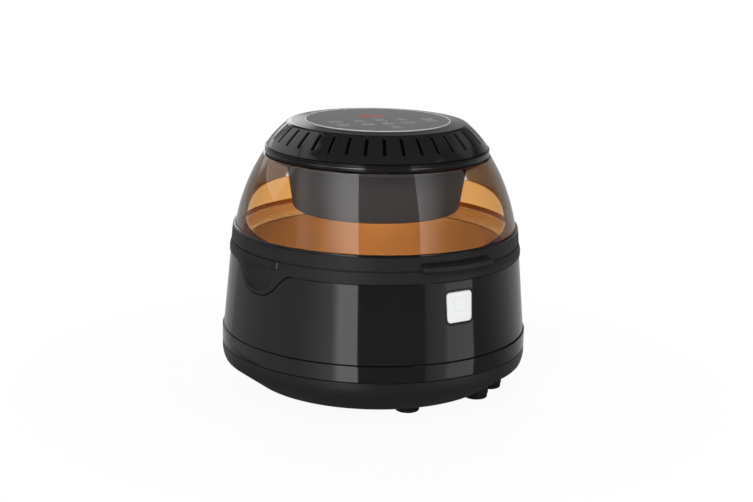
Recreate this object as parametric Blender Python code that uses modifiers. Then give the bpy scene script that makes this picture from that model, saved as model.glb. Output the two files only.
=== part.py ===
# Air fryer oven: a round body with a pot, and a glass dome lid hinged at the back.
# Metres, +Z up. The origin is on the oven's axis at table height. The front faces -Y.

import math

import bmesh
import bpy
from mathutils import Matrix

# Shared sizes
fit_gap = 0.0003
cut_overrun = 0.004
edge_chamfer = 0.0006
round_steps = 60
core_steps = 40
pin_steps = 16

# Heights of the stacked pieces, from the table up
foot_height = 0.011
pan_height = 0.041
band_height = 0.019
shell_height = 0.087
collar_height = 0.014
ring_height = 0.0175
dome_rise = 0.080
clamp_height = 0.0093
cap_height = 0.0292

# Base pan
band_radius = 0.175
pan_wall = 0.0025
pan_floor_inset = 0.035
bevel_inset = 0.0024
bevel_height = 0.0235
skirt_round = 0.030
skirt_rise = 0.012

# Feet: boss under the pan, rubber pad under the boss
boss_radius = 0.0142
boss_drop = 0.005
pad_radius = 0.0134
pad_round = 0.0012
boss_steps = 16
front_foot_inset = 0.026
side_foot_inset = 0.009
wide_foot_inset = 0.003
rear_foot_inset = 0.018

# Lower band and body shell
band_wall = 0.0025
band_shelf = 0.006
shell_foot_inset = 0.0016
shell_taper = 0.0079
shell_wall = 0.003

# Collar with its two side grips
collar_proud = 0.0010
collar_taper = 0.0018
collar_thickness = 0.0132
collar_straight = 0.0055
grip_azimuth = 83.2
apron_drop = 0.0273
apron_half_width = 0.049
apron_proud = 0.0009
apron_depth = 0.012
apron_fullness = 1.5
apron_points = 20
ledge_height = 0.0087
scoop_half_width = 0.0315
scoop_depth = 0.0078
scoop_drop = 0.0288
scoop_rings = 6
scoop_steps = 28

# Inner housing and cooking pot
housing_play = 0.0018
housing_wall = 0.0012
housing_floor_inset = 0.0185
housing_bevel_height = 0.0162
rim_drop = 0.0045
pot_play = 0.0045
pot_wall = 0.0015
pot_floor_inset = 0.021
pot_bevel_height = 0.018
pot_rim_width = 0.0045
pot_rim_height = 0.0020

# Crisper tray
tray_inset = 0.010
tray_thickness = 0.0016
tray_height = 0.0160
tray_skirt_inset = 0.025
tray_slot_count = 16
tray_slot_inner_share = 0.44
tray_slot_inset = 0.033
tray_slot_width = 0.006

# Release button, its bezel and the latch
button_drop = 0.0285
button_width_top = 0.0325
button_width_low = 0.0310
button_tall = 0.0330
button_corner = 0.0040
button_depth = 0.0076
button_proud = 0.0008
button_gap = 0.0011
button_travel = 0.0030
dimple_rise = 0.0035
dimple_radius = 0.0105
dimple_depth = 0.0007
bezel_wall = 0.0014
bezel_depth = 0.0088
bezel_proud = 0.0002
stem_side = 0.008
stem_length = 0.0022
bolt_width = 0.011
bolt_thickness = 0.0020
bolt_foot_drop = 0.010
bolt_top_drop = 0.0025
striker_width = 0.010
striker_thickness = 0.0019
striker_drop = 0.0072
latch_slot_side = 0.0010

# Hinge at the back
hinge_inset = 0.0005
knuckle_radius = 0.0055
knuckle_half_width = 0.0147
bracket_knuckle_width = 0.0142
hinge_pin_radius = 0.0020
pin_play = 0.00035
hinge_clearance = 0.0007
bracket_plate_thickness = 0.0025
bracket_plate_height = 0.024
screw_head_radius = 0.0030
screw_head_height = 0.0016
screw_spread = 0.019
screw_drop = 0.017

# Cord gland, low on the rear
gland_rise = 0.021
gland_radius = 0.0085
gland_flange_radius = 0.0105
gland_bore_radius = 0.0037
gland_length = 0.0140
gland_flange_length = 0.0021

# Lid ring with its lift tab
ring_foot_inset = 0.0002
ring_shoulder_inset = 0.0011
ring_shoulder_drop = 0.0055
ring_lip_inset = 0.0031
ring_bore_inset = 0.0073
groove_width = 0.0038
groove_depth = 0.0115
ring_inner_drop = 0.0052
tab_half_angle = 15.6
tab_reach = 0.0100
tab_thickness = 0.0053
tab_end_round_angle = 2.6
tab_hollow_height = 0.0078
tab_hollow_radial = 0.0066
tab_hollow_drop = 0.0040

# Lid gasket
gasket_width = 0.0047
gasket_height = 0.0068
gasket_lip = 0.0014
gasket_wall = 0.0022

# Glass dome
dome_foot_play = 0.0004
glass_thickness = 0.0030
dome_arc_radius = 0.215
dome_shoulder_inset = 0.0286
dome_shoulder_drop = 0.0040
dome_flat_inset = 0.0051
dome_hole_inset = 0.0092
dome_arc_steps = 5

# Heater housing, the bucket under the cap
heater_flange_width = 0.0040
heater_plate = 0.0020
heater_top_inset = 0.0175
heater_taper = 0.0089
heater_drop = 0.0590
heater_corner = 0.0075
heater_wall = 0.0015
heater_lip_inset = 0.0106
heater_shaft_hole = 0.0050

# Heating element, grille, reflector and probe inside the heater housing
element_share = 0.7611
element_tube = 0.0032
element_rise = 0.0200
element_gap_angle = 24.0
element_points = 28
grille_thickness = 0.0012
grille_windows = 8
grille_rib = 0.0040
grille_hub_radius = 0.012
grille_ring_inset = 0.0091
grille_ring_width = 0.038
reflector_thickness = 0.0010
reflector_drop = 0.0055
reflector_slack = 0.0011
reflector_hole = 0.008
probe_radius = 0.0020
probe_inset = 0.0106
probe_length = 0.047

# Clamp ring, the lip of the cap
clamp_proud = 0.0010
clamp_foot_inset = 0.0009
clamp_width = 0.0070
clamp_step = 0.0012
clamp_step_height = 0.0012

# Vent cap
cap_foot_inset = 0.0018
cap_cone_inset = 0.0206
cap_cone_height = 0.0232
cap_cone_bulge = 0.120
cap_shoulder_inset = 0.0078
cap_shoulder_drop = 0.0021
cap_corner_round = 0.0095
cap_wall = 0.0024
cap_ledge_inset = 0.0205
cap_ledge_thickness = 0.0020
slot_count = 36
slot_phase = -2.0
slot_length = 0.0216
slot_width = 0.0039
slot_circle_outset = 0.0052
slot_end_points = 4

# Touch panel, display and control board
panel_inset = 0.0156
panel_thickness = 0.0020
panel_sink = 0.0004
display_width = 0.046
display_length = 0.020
display_back = 0.028
board_inset = 0.0128
board_thickness = 0.0016

# Motor and fans
motor_plate_thickness = 0.0018
motor_plate_hole = 0.0050
motor_radius = 0.022
motor_height = 0.0160
motor_boss_radius = 0.009
motor_boss_height = 0.0030
shaft_radius = 0.0025
shaft_play = 0.0006
shaft_top_clearance = 0.0036
cooling_fan_share = 0.6804
cooling_fan_height = 0.0060
cooling_fan_clearance = 0.0016
cooling_blades = 9
hot_fan_share = 0.6131
hot_fan_height = 0.009
hot_fan_drop = 0.018
hot_blades = 7
fan_hub_radius = 0.011
blade_thickness = 0.0060
shaft_foot = 0.004

# Heights worked out from the stack
pan_top = foot_height + pan_height
band_top = pan_top + band_height
shell_top = band_top + shell_height
lid_seam = shell_top + collar_height
ring_top = lid_seam + ring_height
dome_top = ring_top + dome_rise
clamp_top = dome_top + clamp_height
oven_top = clamp_top + cap_height
half_gap = fit_gap / 2
pan_floor_top = foot_height + pan_wall
rim_seat = lid_seam - rim_drop
button_height_up = shell_top - button_drop
gland_height = band_top + gland_rise

# Radii worked out inwards from the widest one
bevel_radius = band_radius - bevel_inset
pan_floor_radius = band_radius - pan_floor_inset
front_foot_circle = pan_floor_radius - front_foot_inset
side_foot_circle = pan_floor_radius - side_foot_inset
wide_foot_circle = pan_floor_radius - wide_foot_inset
rear_foot_circle = pan_floor_radius - rear_foot_inset
shell_foot_radius = band_radius - shell_foot_inset
shell_top_radius = shell_foot_radius - shell_taper
collar_radius = shell_top_radius + collar_proud
collar_top_radius = collar_radius - collar_taper
collar_bore_radius = collar_radius - collar_thickness
housing_radius = collar_bore_radius - housing_play
housing_floor_radius = housing_radius - housing_floor_inset
pot_radius = housing_radius - pot_play
pot_floor_radius = pot_radius - pot_floor_inset
pot_rim_radius = pot_radius + pot_rim_width
tray_radius = pot_radius - tray_inset
tray_skirt_radius = tray_radius - tray_skirt_inset
tray_slot_outer = tray_radius - tray_slot_inset
tray_slot_inner = tray_slot_outer * tray_slot_inner_share
hinge_reach = collar_radius - hinge_inset
ring_foot_radius = collar_top_radius - ring_foot_inset
ring_shoulder_radius = ring_foot_radius - ring_shoulder_inset
ring_lip_radius = ring_shoulder_radius - ring_lip_inset
ring_bore_radius = ring_lip_radius - ring_bore_inset
gasket_inner_radius = pot_rim_radius - gasket_width
dome_foot_radius = ring_lip_radius - dome_foot_play
dome_shoulder_radius = dome_foot_radius - dome_shoulder_inset
dome_flat_radius = dome_shoulder_radius - dome_flat_inset
dome_hole_radius = dome_flat_radius - dome_hole_inset
heater_flange_radius = dome_hole_radius + heater_flange_width
heater_top_radius = heater_flange_radius - heater_top_inset
heater_low_radius = heater_top_radius - heater_taper
heater_lip_radius = heater_low_radius - heater_lip_inset
element_radius = heater_low_radius * element_share
probe_circle = heater_low_radius - probe_inset
hot_fan_radius = heater_low_radius * hot_fan_share
clamp_radius = dome_flat_radius + clamp_proud
clamp_inner_radius = clamp_radius - clamp_width
cap_foot_radius = clamp_radius - cap_foot_inset
cap_cone_radius = cap_foot_radius - cap_cone_inset
slot_circle = cap_cone_radius + slot_circle_outset
cap_shoulder_radius = cap_cone_radius - cap_shoulder_inset
cap_ledge_radius = cap_shoulder_radius - cap_ledge_inset
board_radius = cap_cone_radius - board_inset
panel_radius = cap_shoulder_radius - panel_inset
cooling_fan_radius = cap_shoulder_radius * cooling_fan_share

# Feet: azimuth from the front toward +X, and distance off the axis
feet = {
    "foot_front": (-13.0, front_foot_circle),
    "foot_front_right": (31.0, side_foot_circle),
    "foot_right": (48.5, wide_foot_circle),
    "foot_rear_right": (150.0, rear_foot_circle),
    "foot_rear_left": (-150.0, rear_foot_circle),
    "foot_left": (-125.2, wide_foot_circle),
}

# Colours: base colour, roughness, metallic
gloss_black = ((0.012, 0.012, 0.013), 0.16, 0.0)
satin_black = ((0.022, 0.021, 0.021), 0.42, 0.0)
rubber_black = ((0.018, 0.018, 0.018), 0.75, 0.0)
button_silver = ((0.78, 0.79, 0.80), 0.30, 0.0)
bright_steel = ((0.62, 0.62, 0.62), 0.28, 1.0)
dark_steel = ((0.10, 0.10, 0.11), 0.40, 0.9)
pot_steel = ((0.70, 0.66, 0.60), 0.30, 1.0)
amber_glass = ((0.62, 0.36, 0.14), 0.05, 0.0)
panel_grey = ((0.045, 0.046, 0.048), 0.14, 0.0)
board_green = ((0.02, 0.12, 0.06), 0.55, 0.0)
display_red = ((0.25, 0.02, 0.02), 0.30, 0.0)
seal_grey = ((0.12, 0.12, 0.12), 0.70, 0.0)

for leftover in list(bpy.data.objects):
    bpy.data.objects.remove(leftover, do_unlink=True)

scene_root = bpy.context.scene.collection
pieces = bpy.data.collections.new("air_fryer_oven")
cutters = bpy.data.collections.new("cutters")
scene_root.children.link(pieces)
scene_root.children.link(cutters)


def material(name, look):
    colour, roughness, metallic = look
    mat = bpy.data.materials.new(name + "_material")
    mat.use_nodes = True
    shader = mat.node_tree.nodes["Principled BSDF"]
    shader.inputs["Base Color"].default_value = (*colour, 1.0)
    shader.inputs["Roughness"].default_value = roughness
    shader.inputs["Metallic"].default_value = metallic
    return mat


def place(obj, look=None, parent=None):
    """With a look it is a piece of the oven, and without one it is a cutter."""
    if look is None:
        cutters.objects.link(obj)
        obj.hide_render = True
        obj.display_type = "WIRE"
    else:
        pieces.objects.link(obj)
        obj.data.materials.clear()
        obj.data.materials.append(material(obj.name, look))
    if parent is not None:
        obj.parent = parent
        obj.matrix_parent_inverse = Matrix.Translation(parent.location).inverted()
    return obj


def joint_axis(name, location, parent=None):
    empty = bpy.data.objects.new(name, None)
    pieces.objects.link(empty)
    empty.location = location
    if parent is not None:
        empty.parent = parent
        empty.matrix_parent_inverse = Matrix.Translation(parent.location).inverted()
    return empty


def shoelace(points):
    total = 0
    for (r0, z0), (r1, z1) in zip(points, points[1:] + points[:1]):
        total += r0 * z1 - r1 * z0
    return total


def turned(name, outline, look=None, parent=None, steps=round_steps):
    """A profile of (radius, height) points, turned about Z. It runs down its outer side."""
    if shoelace(outline) > 0:
        outline = outline[::-1]
    on_axis = [index for index, (radius, _) in enumerate(outline) if radius == 0]
    if on_axis:
        start = next(i for i in on_axis if (i - 1) % len(outline) in on_axis)
        outline = outline[start:] + outline[:start]
    mesh = bpy.data.meshes.new(name)
    edges = [(i, i + 1) for i in range(len(outline) - 1)]
    if not on_axis:
        edges.append((len(outline) - 1, 0))
    mesh.from_pydata([(radius, 0, height) for radius, height in outline], edges, [])
    obj = bpy.data.objects.new(name, mesh)
    screw = obj.modifiers.new("turn", "SCREW")
    screw.axis = "Z"
    screw.steps = steps
    screw.render_steps = steps
    screw.use_merge_vertices = True
    screw.merge_threshold = 0.00001
    return place(obj, look, parent)


def arc_between(low, high, radius, steps, inset=0.0):
    """Points of an arc that bulges away from the axis, from low to high, moved in by inset."""
    chord = (high[0] - low[0], high[1] - low[1])
    length = math.hypot(*chord)
    back = math.sqrt(max(radius**2 - (length / 2) ** 2, 0))
    centre = (
        (low[0] + high[0]) / 2 - chord[1] / length * back,
        (low[1] + high[1]) / 2 + chord[0] / length * back,
    )
    first = math.atan2(low[1] - centre[1], low[0] - centre[0])
    last = math.atan2(high[1] - centre[1], high[0] - centre[0])
    points = []
    for step in range(steps + 1):
        angle = first + (last - first) * step / steps
        reach = radius - inset
        points.append((centre[0] + reach * math.cos(angle), centre[1] + reach * math.sin(angle)))
    return points


def outline_mesh(name, outlines, thickness):
    """A flat outline, with any holes as further outlines, given its thickness about Z = 0."""
    curve = bpy.data.curves.new(name, "CURVE")
    curve.dimensions = "2D"
    curve.fill_mode = "BOTH"
    curve.extrude = thickness / 2
    for outline in outlines:
        spline = curve.splines.new("POLY")
        spline.points.add(len(outline) - 1)
        for point, (x, y) in zip(spline.points, outline):
            point.co = (x, y, 0, 1)
        spline.use_cyclic_u = True
    return curve_mesh(name, curve)


def curve_mesh(name, curve):
    source = bpy.data.objects.new(name + "_curve", curve)
    scene_root.objects.link(source)
    graph = bpy.context.evaluated_depsgraph_get()
    mesh = bpy.data.meshes.new_from_object(source.evaluated_get(graph))
    mesh.name = name
    bpy.data.objects.remove(source, do_unlink=True)
    shape = bmesh.new()
    shape.from_mesh(mesh)
    bmesh.ops.remove_doubles(shape, verts=shape.verts, dist=0.000001)
    bmesh.ops.recalc_face_normals(shape, faces=shape.faces)
    shape.to_mesh(mesh)
    shape.free()
    return mesh


def facing(azimuth):
    """Local X, Y and Z become tangent, up and outward, at an azimuth from the front."""
    return Matrix.Rotation(math.radians(azimuth), 4, "Z") @ Matrix.Rotation(math.radians(90), 4, "X")


def prism(name, outlines, near, far, azimuth=0.0, look=None, parent=None):
    """An upright outline of (sideways, height) points, from one distance off the axis to another."""
    mesh = outline_mesh(name, outlines, far - near)
    mesh.transform(facing(azimuth) @ Matrix.Translation((0, 0, (near + far) / 2)))
    return place(bpy.data.objects.new(name, mesh), look, parent)


def plate(name, outlines, low, high, look=None, parent=None):
    """A level outline of (x, y) points, from one height to another."""
    mesh = outline_mesh(name, outlines, high - low)
    mesh.transform(Matrix.Translation((0, 0, (low + high) / 2)))
    return place(bpy.data.objects.new(name, mesh), look, parent)


def block(name, low, high, look=None, parent=None):
    shape = bmesh.new()
    bmesh.ops.create_cube(shape, size=1.0)
    sides = [b - a for a, b in zip(low, high)]
    middle = [(a + b) / 2 for a, b in zip(low, high)]
    bmesh.ops.transform(shape, verts=shape.verts, matrix=Matrix.Diagonal((*sides, 1)))
    bmesh.ops.translate(shape, verts=shape.verts, vec=middle)
    return from_bmesh(name, shape, look, parent)


def rod(name, radius, start, length, axis, look=None, parent=None, steps=pin_steps):
    """A round bar from start, along X, Y or Z."""
    shape = bmesh.new()
    bmesh.ops.create_cone(
        shape,
        cap_ends=True,
        segments=steps,
        radius1=radius,
        radius2=radius,
        depth=length,
    )
    bmesh.ops.translate(shape, verts=shape.verts, vec=(0, 0, length / 2))
    turn = {
        "X": Matrix.Rotation(math.radians(90), 4, "Y"),
        "Y": Matrix.Rotation(math.radians(-90), 4, "X"),
        "Z": Matrix.Identity(4),
    }[axis]
    bmesh.ops.transform(shape, verts=shape.verts, matrix=Matrix.Translation(start) @ turn)
    return from_bmesh(name, shape, look, parent)


def from_bmesh(name, shape, look, parent):
    mesh = bpy.data.meshes.new(name)
    shape.to_mesh(mesh)
    shape.free()
    return place(bpy.data.objects.new(name, mesh), look, parent)


def combine(obj, other, operation):
    modifier = obj.modifiers.new(operation.lower() + "_" + other.name, "BOOLEAN")
    modifier.operation = operation
    modifier.object = other


def cut(obj, other):
    combine(obj, other, "DIFFERENCE")


def join(obj, other):
    combine(obj, other, "UNION")


def keep_inside(obj, other):
    combine(obj, other, "INTERSECT")


def bevelled(obj, width, segments=1):
    modifier = obj.modifiers.new("edges", "BEVEL")
    modifier.width = width
    modifier.segments = segments
    modifier.limit_method = "ANGLE"


def on_circle(radius, azimuth):
    """A point on the ground plan, with the azimuth counted from the front toward +X."""
    turn = math.radians(azimuth)
    return radius * math.sin(turn), -radius * math.cos(turn)


def circle(radius, steps, x=0.0, y=0.0):
    turns = [2 * math.pi * step / steps for step in range(steps)]
    return [(x + radius * math.cos(turn), y + radius * math.sin(turn)) for turn in turns]


def rounded_box(width_top, width_low, tall, corner, middle, grow=0.0, steps=3):
    """A box with round corners, wider at the top, as (sideways, height) points."""
    half_tall = tall / 2 + grow
    radius = corner + grow
    points = []
    for side, level, first in ((1, -1, -90), (1, 1, 0), (-1, 1, 90), (-1, -1, 180)):
        half = (width_top if level > 0 else width_low) / 2 + grow
        centre = (side * (half - radius), middle + level * (half_tall - radius))
        for step in range(steps + 1):
            turn = math.radians(first + 90 * step / steps)
            points.append(
                (centre[0] + radius * math.cos(turn), centre[1] + radius * math.sin(turn))
            )
    return points


def shell_radius(height):
    share = (height - band_top) / shell_height
    return shell_foot_radius + (shell_top_radius - shell_foot_radius) * share


# Base pan: a bevelled dish on six bosses
bevel_top = foot_height + bevel_height
skirt_low = (bevel_radius, bevel_top)
skirt_high = (band_radius, bevel_top + skirt_rise)
pan_rim = pan_top - half_gap
base_pan = turned(
    "base_pan",
    [
        (0, foot_height),
        (pan_floor_radius, foot_height),
        *arc_between(skirt_low, skirt_high, skirt_round, 3),
        (band_radius, pan_rim),
        (0, pan_rim),
    ],
    satin_black,
)
bevel_angle = math.atan2(bevel_height, bevel_radius - pan_floor_radius)
inner_wall_radius = band_radius - pan_wall
inner_bevel_lift = pan_wall / math.cos(bevel_angle)
inner_bevel_top = (
    foot_height + (inner_wall_radius - pan_floor_radius) * math.tan(bevel_angle) + inner_bevel_lift
)
inner_floor_radius = pan_floor_radius - pan_wall * math.tan(bevel_angle / 2)
pan_cavity = turned(
    "pan_cavity",
    [
        (0, pan_floor_top),
        (inner_floor_radius, pan_floor_top),
        (inner_wall_radius, inner_bevel_top),
        (inner_wall_radius, pan_top + cut_overrun),
        (0, pan_top + cut_overrun),
    ],
)
boss_foot = foot_height - boss_drop
for foot_name, (foot_azimuth, foot_circle) in feet.items():
    foot_x, foot_y = on_circle(foot_circle, foot_azimuth)
    boss = rod(
        foot_name + "_boss",
        boss_radius,
        (foot_x, foot_y, boss_foot),
        boss_drop + bevel_height,
        "Z",
        steps=boss_steps,
    )
    join(base_pan, boss)
cut(base_pan, pan_cavity)

# Feet: rubber pads under the bosses
for foot_name, (foot_azimuth, foot_circle) in feet.items():
    foot_x, foot_y = on_circle(foot_circle, foot_azimuth)
    pad = rod(
        foot_name,
        pad_radius,
        (foot_x, foot_y, 0),
        boss_foot - fit_gap,
        "Z",
        rubber_black,
        steps=boss_steps,
    )
    bevelled(pad, pad_round)

# Lower band, between the two seams
band_low = pan_top + half_gap
band_high = band_top - half_gap
turned(
    "lower_band",
    [
        (band_radius - edge_chamfer, band_high),
        (band_radius, band_high - edge_chamfer),
        (band_radius, band_low + edge_chamfer),
        (band_radius - edge_chamfer, band_low),
        (band_radius - band_wall, band_low),
        (band_radius - band_wall, band_high - band_wall),
        (band_radius - band_shelf, band_high - band_wall),
        (band_radius - band_shelf, band_high),
    ],
    gloss_black,
)

# Body shell
shell_low = band_top + half_gap
shell_high = shell_top - half_gap
body_shell = turned(
    "body_shell",
    [
        (shell_top_radius, shell_high),
        (shell_radius(shell_low + edge_chamfer), shell_low + edge_chamfer),
        (shell_foot_radius - edge_chamfer, shell_low),
        (shell_foot_radius - shell_wall, shell_low),
        (shell_top_radius - shell_wall, shell_high),
    ],
    gloss_black,
)


def apron_outline(grow, top):
    """The bell-shaped lower edge of a side grip, moved out by grow."""
    points = []
    for step in range(apron_points + 1):
        place = 2 * step / apron_points - 1
        sideways = apron_half_width * place
        turn = math.pi * abs(place) ** apron_fullness
        height = shell_top - apron_drop * (1 + math.cos(turn)) / 2
        turn_rate = math.pi * apron_fullness * abs(place) ** (apron_fullness - 1)
        steepness = apron_drop / apron_half_width * turn_rate * math.sin(turn) / 2
        slope = math.copysign(steepness, place)
        length = math.hypot(slope, 1)
        points.append((sideways + grow * slope / length, height - grow / length))
    return [*points, (points[-1][0], top), (points[0][0], top)]


# Collar with its two side grips
collar_low = shell_top + half_gap
collar_high = lid_seam - half_gap
collar = turned(
    "collar",
    [
        (collar_top_radius, collar_high),
        (collar_radius, collar_low + collar_straight),
        (collar_radius, collar_low + edge_chamfer),
        (collar_radius - edge_chamfer, collar_low),
        (collar_bore_radius, collar_low),
        (collar_bore_radius, collar_high),
    ],
    satin_black,
)
apron_foot = shell_top - apron_drop - cut_overrun
apron_head = collar_low + collar_straight / 2
apron_outer = shell_radius(apron_head) + apron_proud
apron_low_outer = shell_radius(apron_foot) + apron_proud
scoop_mouth = collar_radius + collar_proud / 2
scoop_top = lid_seam - ledge_height
for side, side_sign in (("left", -1), ("right", 1)):
    azimuth = side_sign * grip_azimuth
    apron = turned(
        "apron_" + side,
        [
            (apron_outer, apron_head),
            (apron_low_outer, apron_foot),
            (collar_radius - apron_depth, apron_foot),
            (collar_radius - apron_depth, apron_head),
        ],
    )
    apron_window = prism(
        "apron_window_" + side,
        [apron_outline(0.0, apron_head + cut_overrun)],
        collar_bore_radius - cut_overrun,
        band_radius + cut_overrun,
        azimuth,
    )
    keep_inside(apron, apron_window)
    join(collar, apron)
    shell_notch = prism(
        "shell_notch_" + side,
        [apron_outline(fit_gap, shell_top + cut_overrun)],
        collar_bore_radius - cut_overrun,
        band_radius + cut_overrun,
        azimuth,
    )
    cut(body_shell, shell_notch)
    scoop_profile = [(0.0, 0.0)]
    for ring in range(scoop_rings + 1):
        turn = math.pi / 2 * ring / scoop_rings
        radius = math.cos(turn) if ring < scoop_rings else 0.0
        scoop_profile.append((radius, -scoop_drop * math.sin(turn)))
    scoop = turned("scoop_" + side, scoop_profile, steps=scoop_steps)
    scoop.scale = (scoop_half_width, scoop_depth, 1)
    scoop.rotation_euler = (0, 0, math.radians(azimuth))
    scoop.location = (*on_circle(scoop_mouth, azimuth), scoop_top)
    cut(collar, scoop)

# Inner housing, the heat shield that the pot hangs in
housing_foot = pan_floor_top + fit_gap
housing_bevel = housing_foot + housing_bevel_height
turned(
    "inner_housing",
    [
        (0, housing_foot),
        (housing_floor_radius, housing_foot),
        (housing_radius, housing_bevel),
        (housing_radius, rim_seat),
        (housing_radius - housing_wall, rim_seat),
        (housing_radius - housing_wall, housing_bevel + housing_wall / 2),
        (housing_floor_radius - housing_wall / 2, housing_foot + housing_wall),
        (0, housing_foot + housing_wall),
    ],
    bright_steel,
    steps=core_steps,
)

# Cooking pot
pot_foot = housing_foot + housing_wall + fit_gap
pot_bevel = pot_foot + pot_bevel_height
pot_rim_low = rim_seat + fit_gap
pot_rim_high = pot_rim_low + pot_rim_height
pot_floor = pot_foot + pot_wall
turned(
    "cooking_pot",
    [
        (0, pot_foot),
        (pot_floor_radius, pot_foot),
        (pot_radius, pot_bevel),
        (pot_radius, pot_rim_low),
        (pot_rim_radius, pot_rim_low),
        (pot_rim_radius, pot_rim_high),
        (pot_radius - pot_wall, pot_rim_high),
        (pot_radius - pot_wall, pot_bevel + pot_wall / 2),
        (pot_floor_radius - pot_wall / 2, pot_floor),
        (0, pot_floor),
    ],
    pot_steel,
    steps=core_steps,
)

# Crisper tray: a slotted plate on a skirt
tray_foot = pot_floor + fit_gap
tray_low = tray_foot + tray_height
tray_slots = []
for index in range(tray_slot_count):
    slot_x, slot_y = on_circle(1.0, 360 * index / tray_slot_count)
    half = tray_slot_width / 2
    tray_slots.append(
        [
            (slot_x * tray_slot_inner - slot_y * half, slot_y * tray_slot_inner + slot_x * half),
            (slot_x * tray_slot_inner + slot_y * half, slot_y * tray_slot_inner - slot_x * half),
            (slot_x * tray_slot_outer + slot_y * half, slot_y * tray_slot_outer - slot_x * half),
            (slot_x * tray_slot_outer - slot_y * half, slot_y * tray_slot_outer + slot_x * half),
        ]
    )
tray = plate(
    "crisper_tray",
    [circle(tray_radius, core_steps), *tray_slots],
    tray_low,
    tray_low + tray_thickness,
    pot_steel,
)
tray_skirt = turned(
    "tray_skirt",
    [
        (tray_skirt_radius, tray_low + tray_thickness / 2),
        (tray_skirt_radius, tray_foot),
        (tray_skirt_radius - tray_thickness, tray_foot),
        (tray_skirt_radius - tray_thickness, tray_low + tray_thickness / 2),
    ],
    steps=core_steps,
)
join(tray, tray_skirt)

# Release button in its bezel
button_axis = joint_axis("button_axis", (0, -shell_radius(button_height_up), button_height_up))
button_face = shell_radius(button_height_up) + button_proud
button_back = button_face - button_depth
button_shape = (button_width_top, button_width_low, button_tall, button_corner, button_height_up)
bezel_grow = button_gap + bezel_wall
body_skin = turned(
    "body_skin",
    [
        (0, shell_top),
        (shell_top_radius + bezel_proud, shell_top),
        (shell_foot_radius + bezel_proud, band_top),
        (0, band_top),
    ],
)
button_skin = turned(
    "button_skin",
    [
        (0, shell_top),
        (shell_top_radius + button_proud, shell_top),
        (shell_foot_radius + button_proud, band_top),
        (0, band_top),
    ],
)
button_window = prism(
    "button_window",
    [rounded_box(*button_shape, grow=bezel_grow + fit_gap)],
    shell_top_radius - bezel_depth,
    band_radius + cut_overrun,
)
cut(body_shell, button_window)
bezel_back = shell_radius(button_height_up) - bezel_depth
bezel = prism(
    "button_bezel",
    [rounded_box(*button_shape, grow=bezel_grow), rounded_box(*button_shape, grow=button_gap)],
    bezel_back,
    band_radius + cut_overrun,
    look=gloss_black,
)
keep_inside(bezel, body_skin)
button = prism(
    "release_button",
    [rounded_box(*button_shape)],
    button_back,
    band_radius + cut_overrun,
    look=button_silver,
    parent=button_axis,
)
keep_inside(button, button_skin)
dimple_ball_radius = (dimple_radius**2 + dimple_depth**2) / (2 * dimple_depth)
dimple_profile = [(0.0, -dimple_depth)]
for ring in range(1, 3):
    ring_radius = dimple_radius * ring / 2
    sag = dimple_ball_radius - math.sqrt(dimple_ball_radius**2 - ring_radius**2)
    dimple_profile.append((ring_radius, sag - dimple_depth))
dimple_profile += [(dimple_radius, cut_overrun), (0.0, cut_overrun)]
dimple = turned("dimple", dimple_profile, steps=pin_steps)
dimple_height = button_height_up + dimple_rise
dimple.rotation_euler = (math.radians(90), 0, 0)
dimple.location = (0, -shell_radius(dimple_height) - button_proud, dimple_height)
cut(button, dimple)
stem = block(
    "button_stem",
    (-stem_side / 2, -button_back - edge_chamfer, button_height_up - stem_side / 2),
    (stem_side / 2, -button_back + stem_length, button_height_up + stem_side / 2),
)
join(button, stem)

# Latch: the bolt rides on the button, and the striker hangs from the lid ring
bolt_front = -button_back + stem_length + fit_gap
bolt_back = bolt_front + bolt_thickness
bolt_top = lid_seam - bolt_top_drop
block(
    "latch_bolt",
    (-bolt_width / 2, bolt_front, button_height_up - bolt_foot_drop),
    (bolt_width / 2, bolt_back, bolt_top),
    dark_steel,
    button_axis,
)
striker_back = bolt_front - fit_gap
striker_front = striker_back - striker_thickness
latch_slot = block(
    "latch_slot",
    (-bolt_width / 2 - latch_slot_side, striker_front - latch_slot_side, collar_low - cut_overrun),
    (bolt_width / 2 + latch_slot_side, -collar_bore_radius + cut_overrun, lid_seam + cut_overrun),
)
cut(collar, latch_slot)

# Hinge bracket and pin at the back
hinge_height = lid_seam
pin_bore = hinge_pin_radius + pin_play
knuckle_room = knuckle_radius + hinge_clearance
bracket_inner = knuckle_half_width + 2 * fit_gap
bracket_outer = bracket_inner + bracket_knuckle_width
pocket_half_width = bracket_outer + hinge_clearance
hinge_pocket = block(
    "hinge_pocket",
    (-pocket_half_width, hinge_reach - knuckle_room, hinge_height - knuckle_room),
    (pocket_half_width, band_radius + cut_overrun, lid_seam + cut_overrun),
)
cut(collar, hinge_pocket)
plate_front = collar_radius + fit_gap
plate_back = plate_front + bracket_plate_thickness
bracket = block(
    "hinge_bracket",
    (-bracket_outer, plate_front, hinge_height - bracket_plate_height),
    (bracket_outer, plate_back, hinge_height),
    dark_steel,
)
plate_notch = block(
    "bracket_notch",
    (-bracket_inner, plate_front - cut_overrun, hinge_height - knuckle_room),
    (bracket_inner, plate_back + cut_overrun, hinge_height + cut_overrun),
)
cut(bracket, plate_notch)
for side, start in (("left", -bracket_outer), ("right", bracket_inner)):
    knuckle = rod(
        "bracket_knuckle_" + side,
        knuckle_radius,
        (start, hinge_reach, hinge_height),
        bracket_knuckle_width,
        "X",
    )
    join(bracket, knuckle)
bracket_bore = rod(
    "bracket_bore",
    pin_bore,
    (-bracket_outer - cut_overrun, hinge_reach, hinge_height),
    2 * (bracket_outer + cut_overrun),
    "X",
)
cut(bracket, bracket_bore)
rod(
    "hinge_pin",
    hinge_pin_radius,
    (-bracket_outer, hinge_reach, hinge_height),
    2 * bracket_outer,
    "X",
    bright_steel,
)
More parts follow.
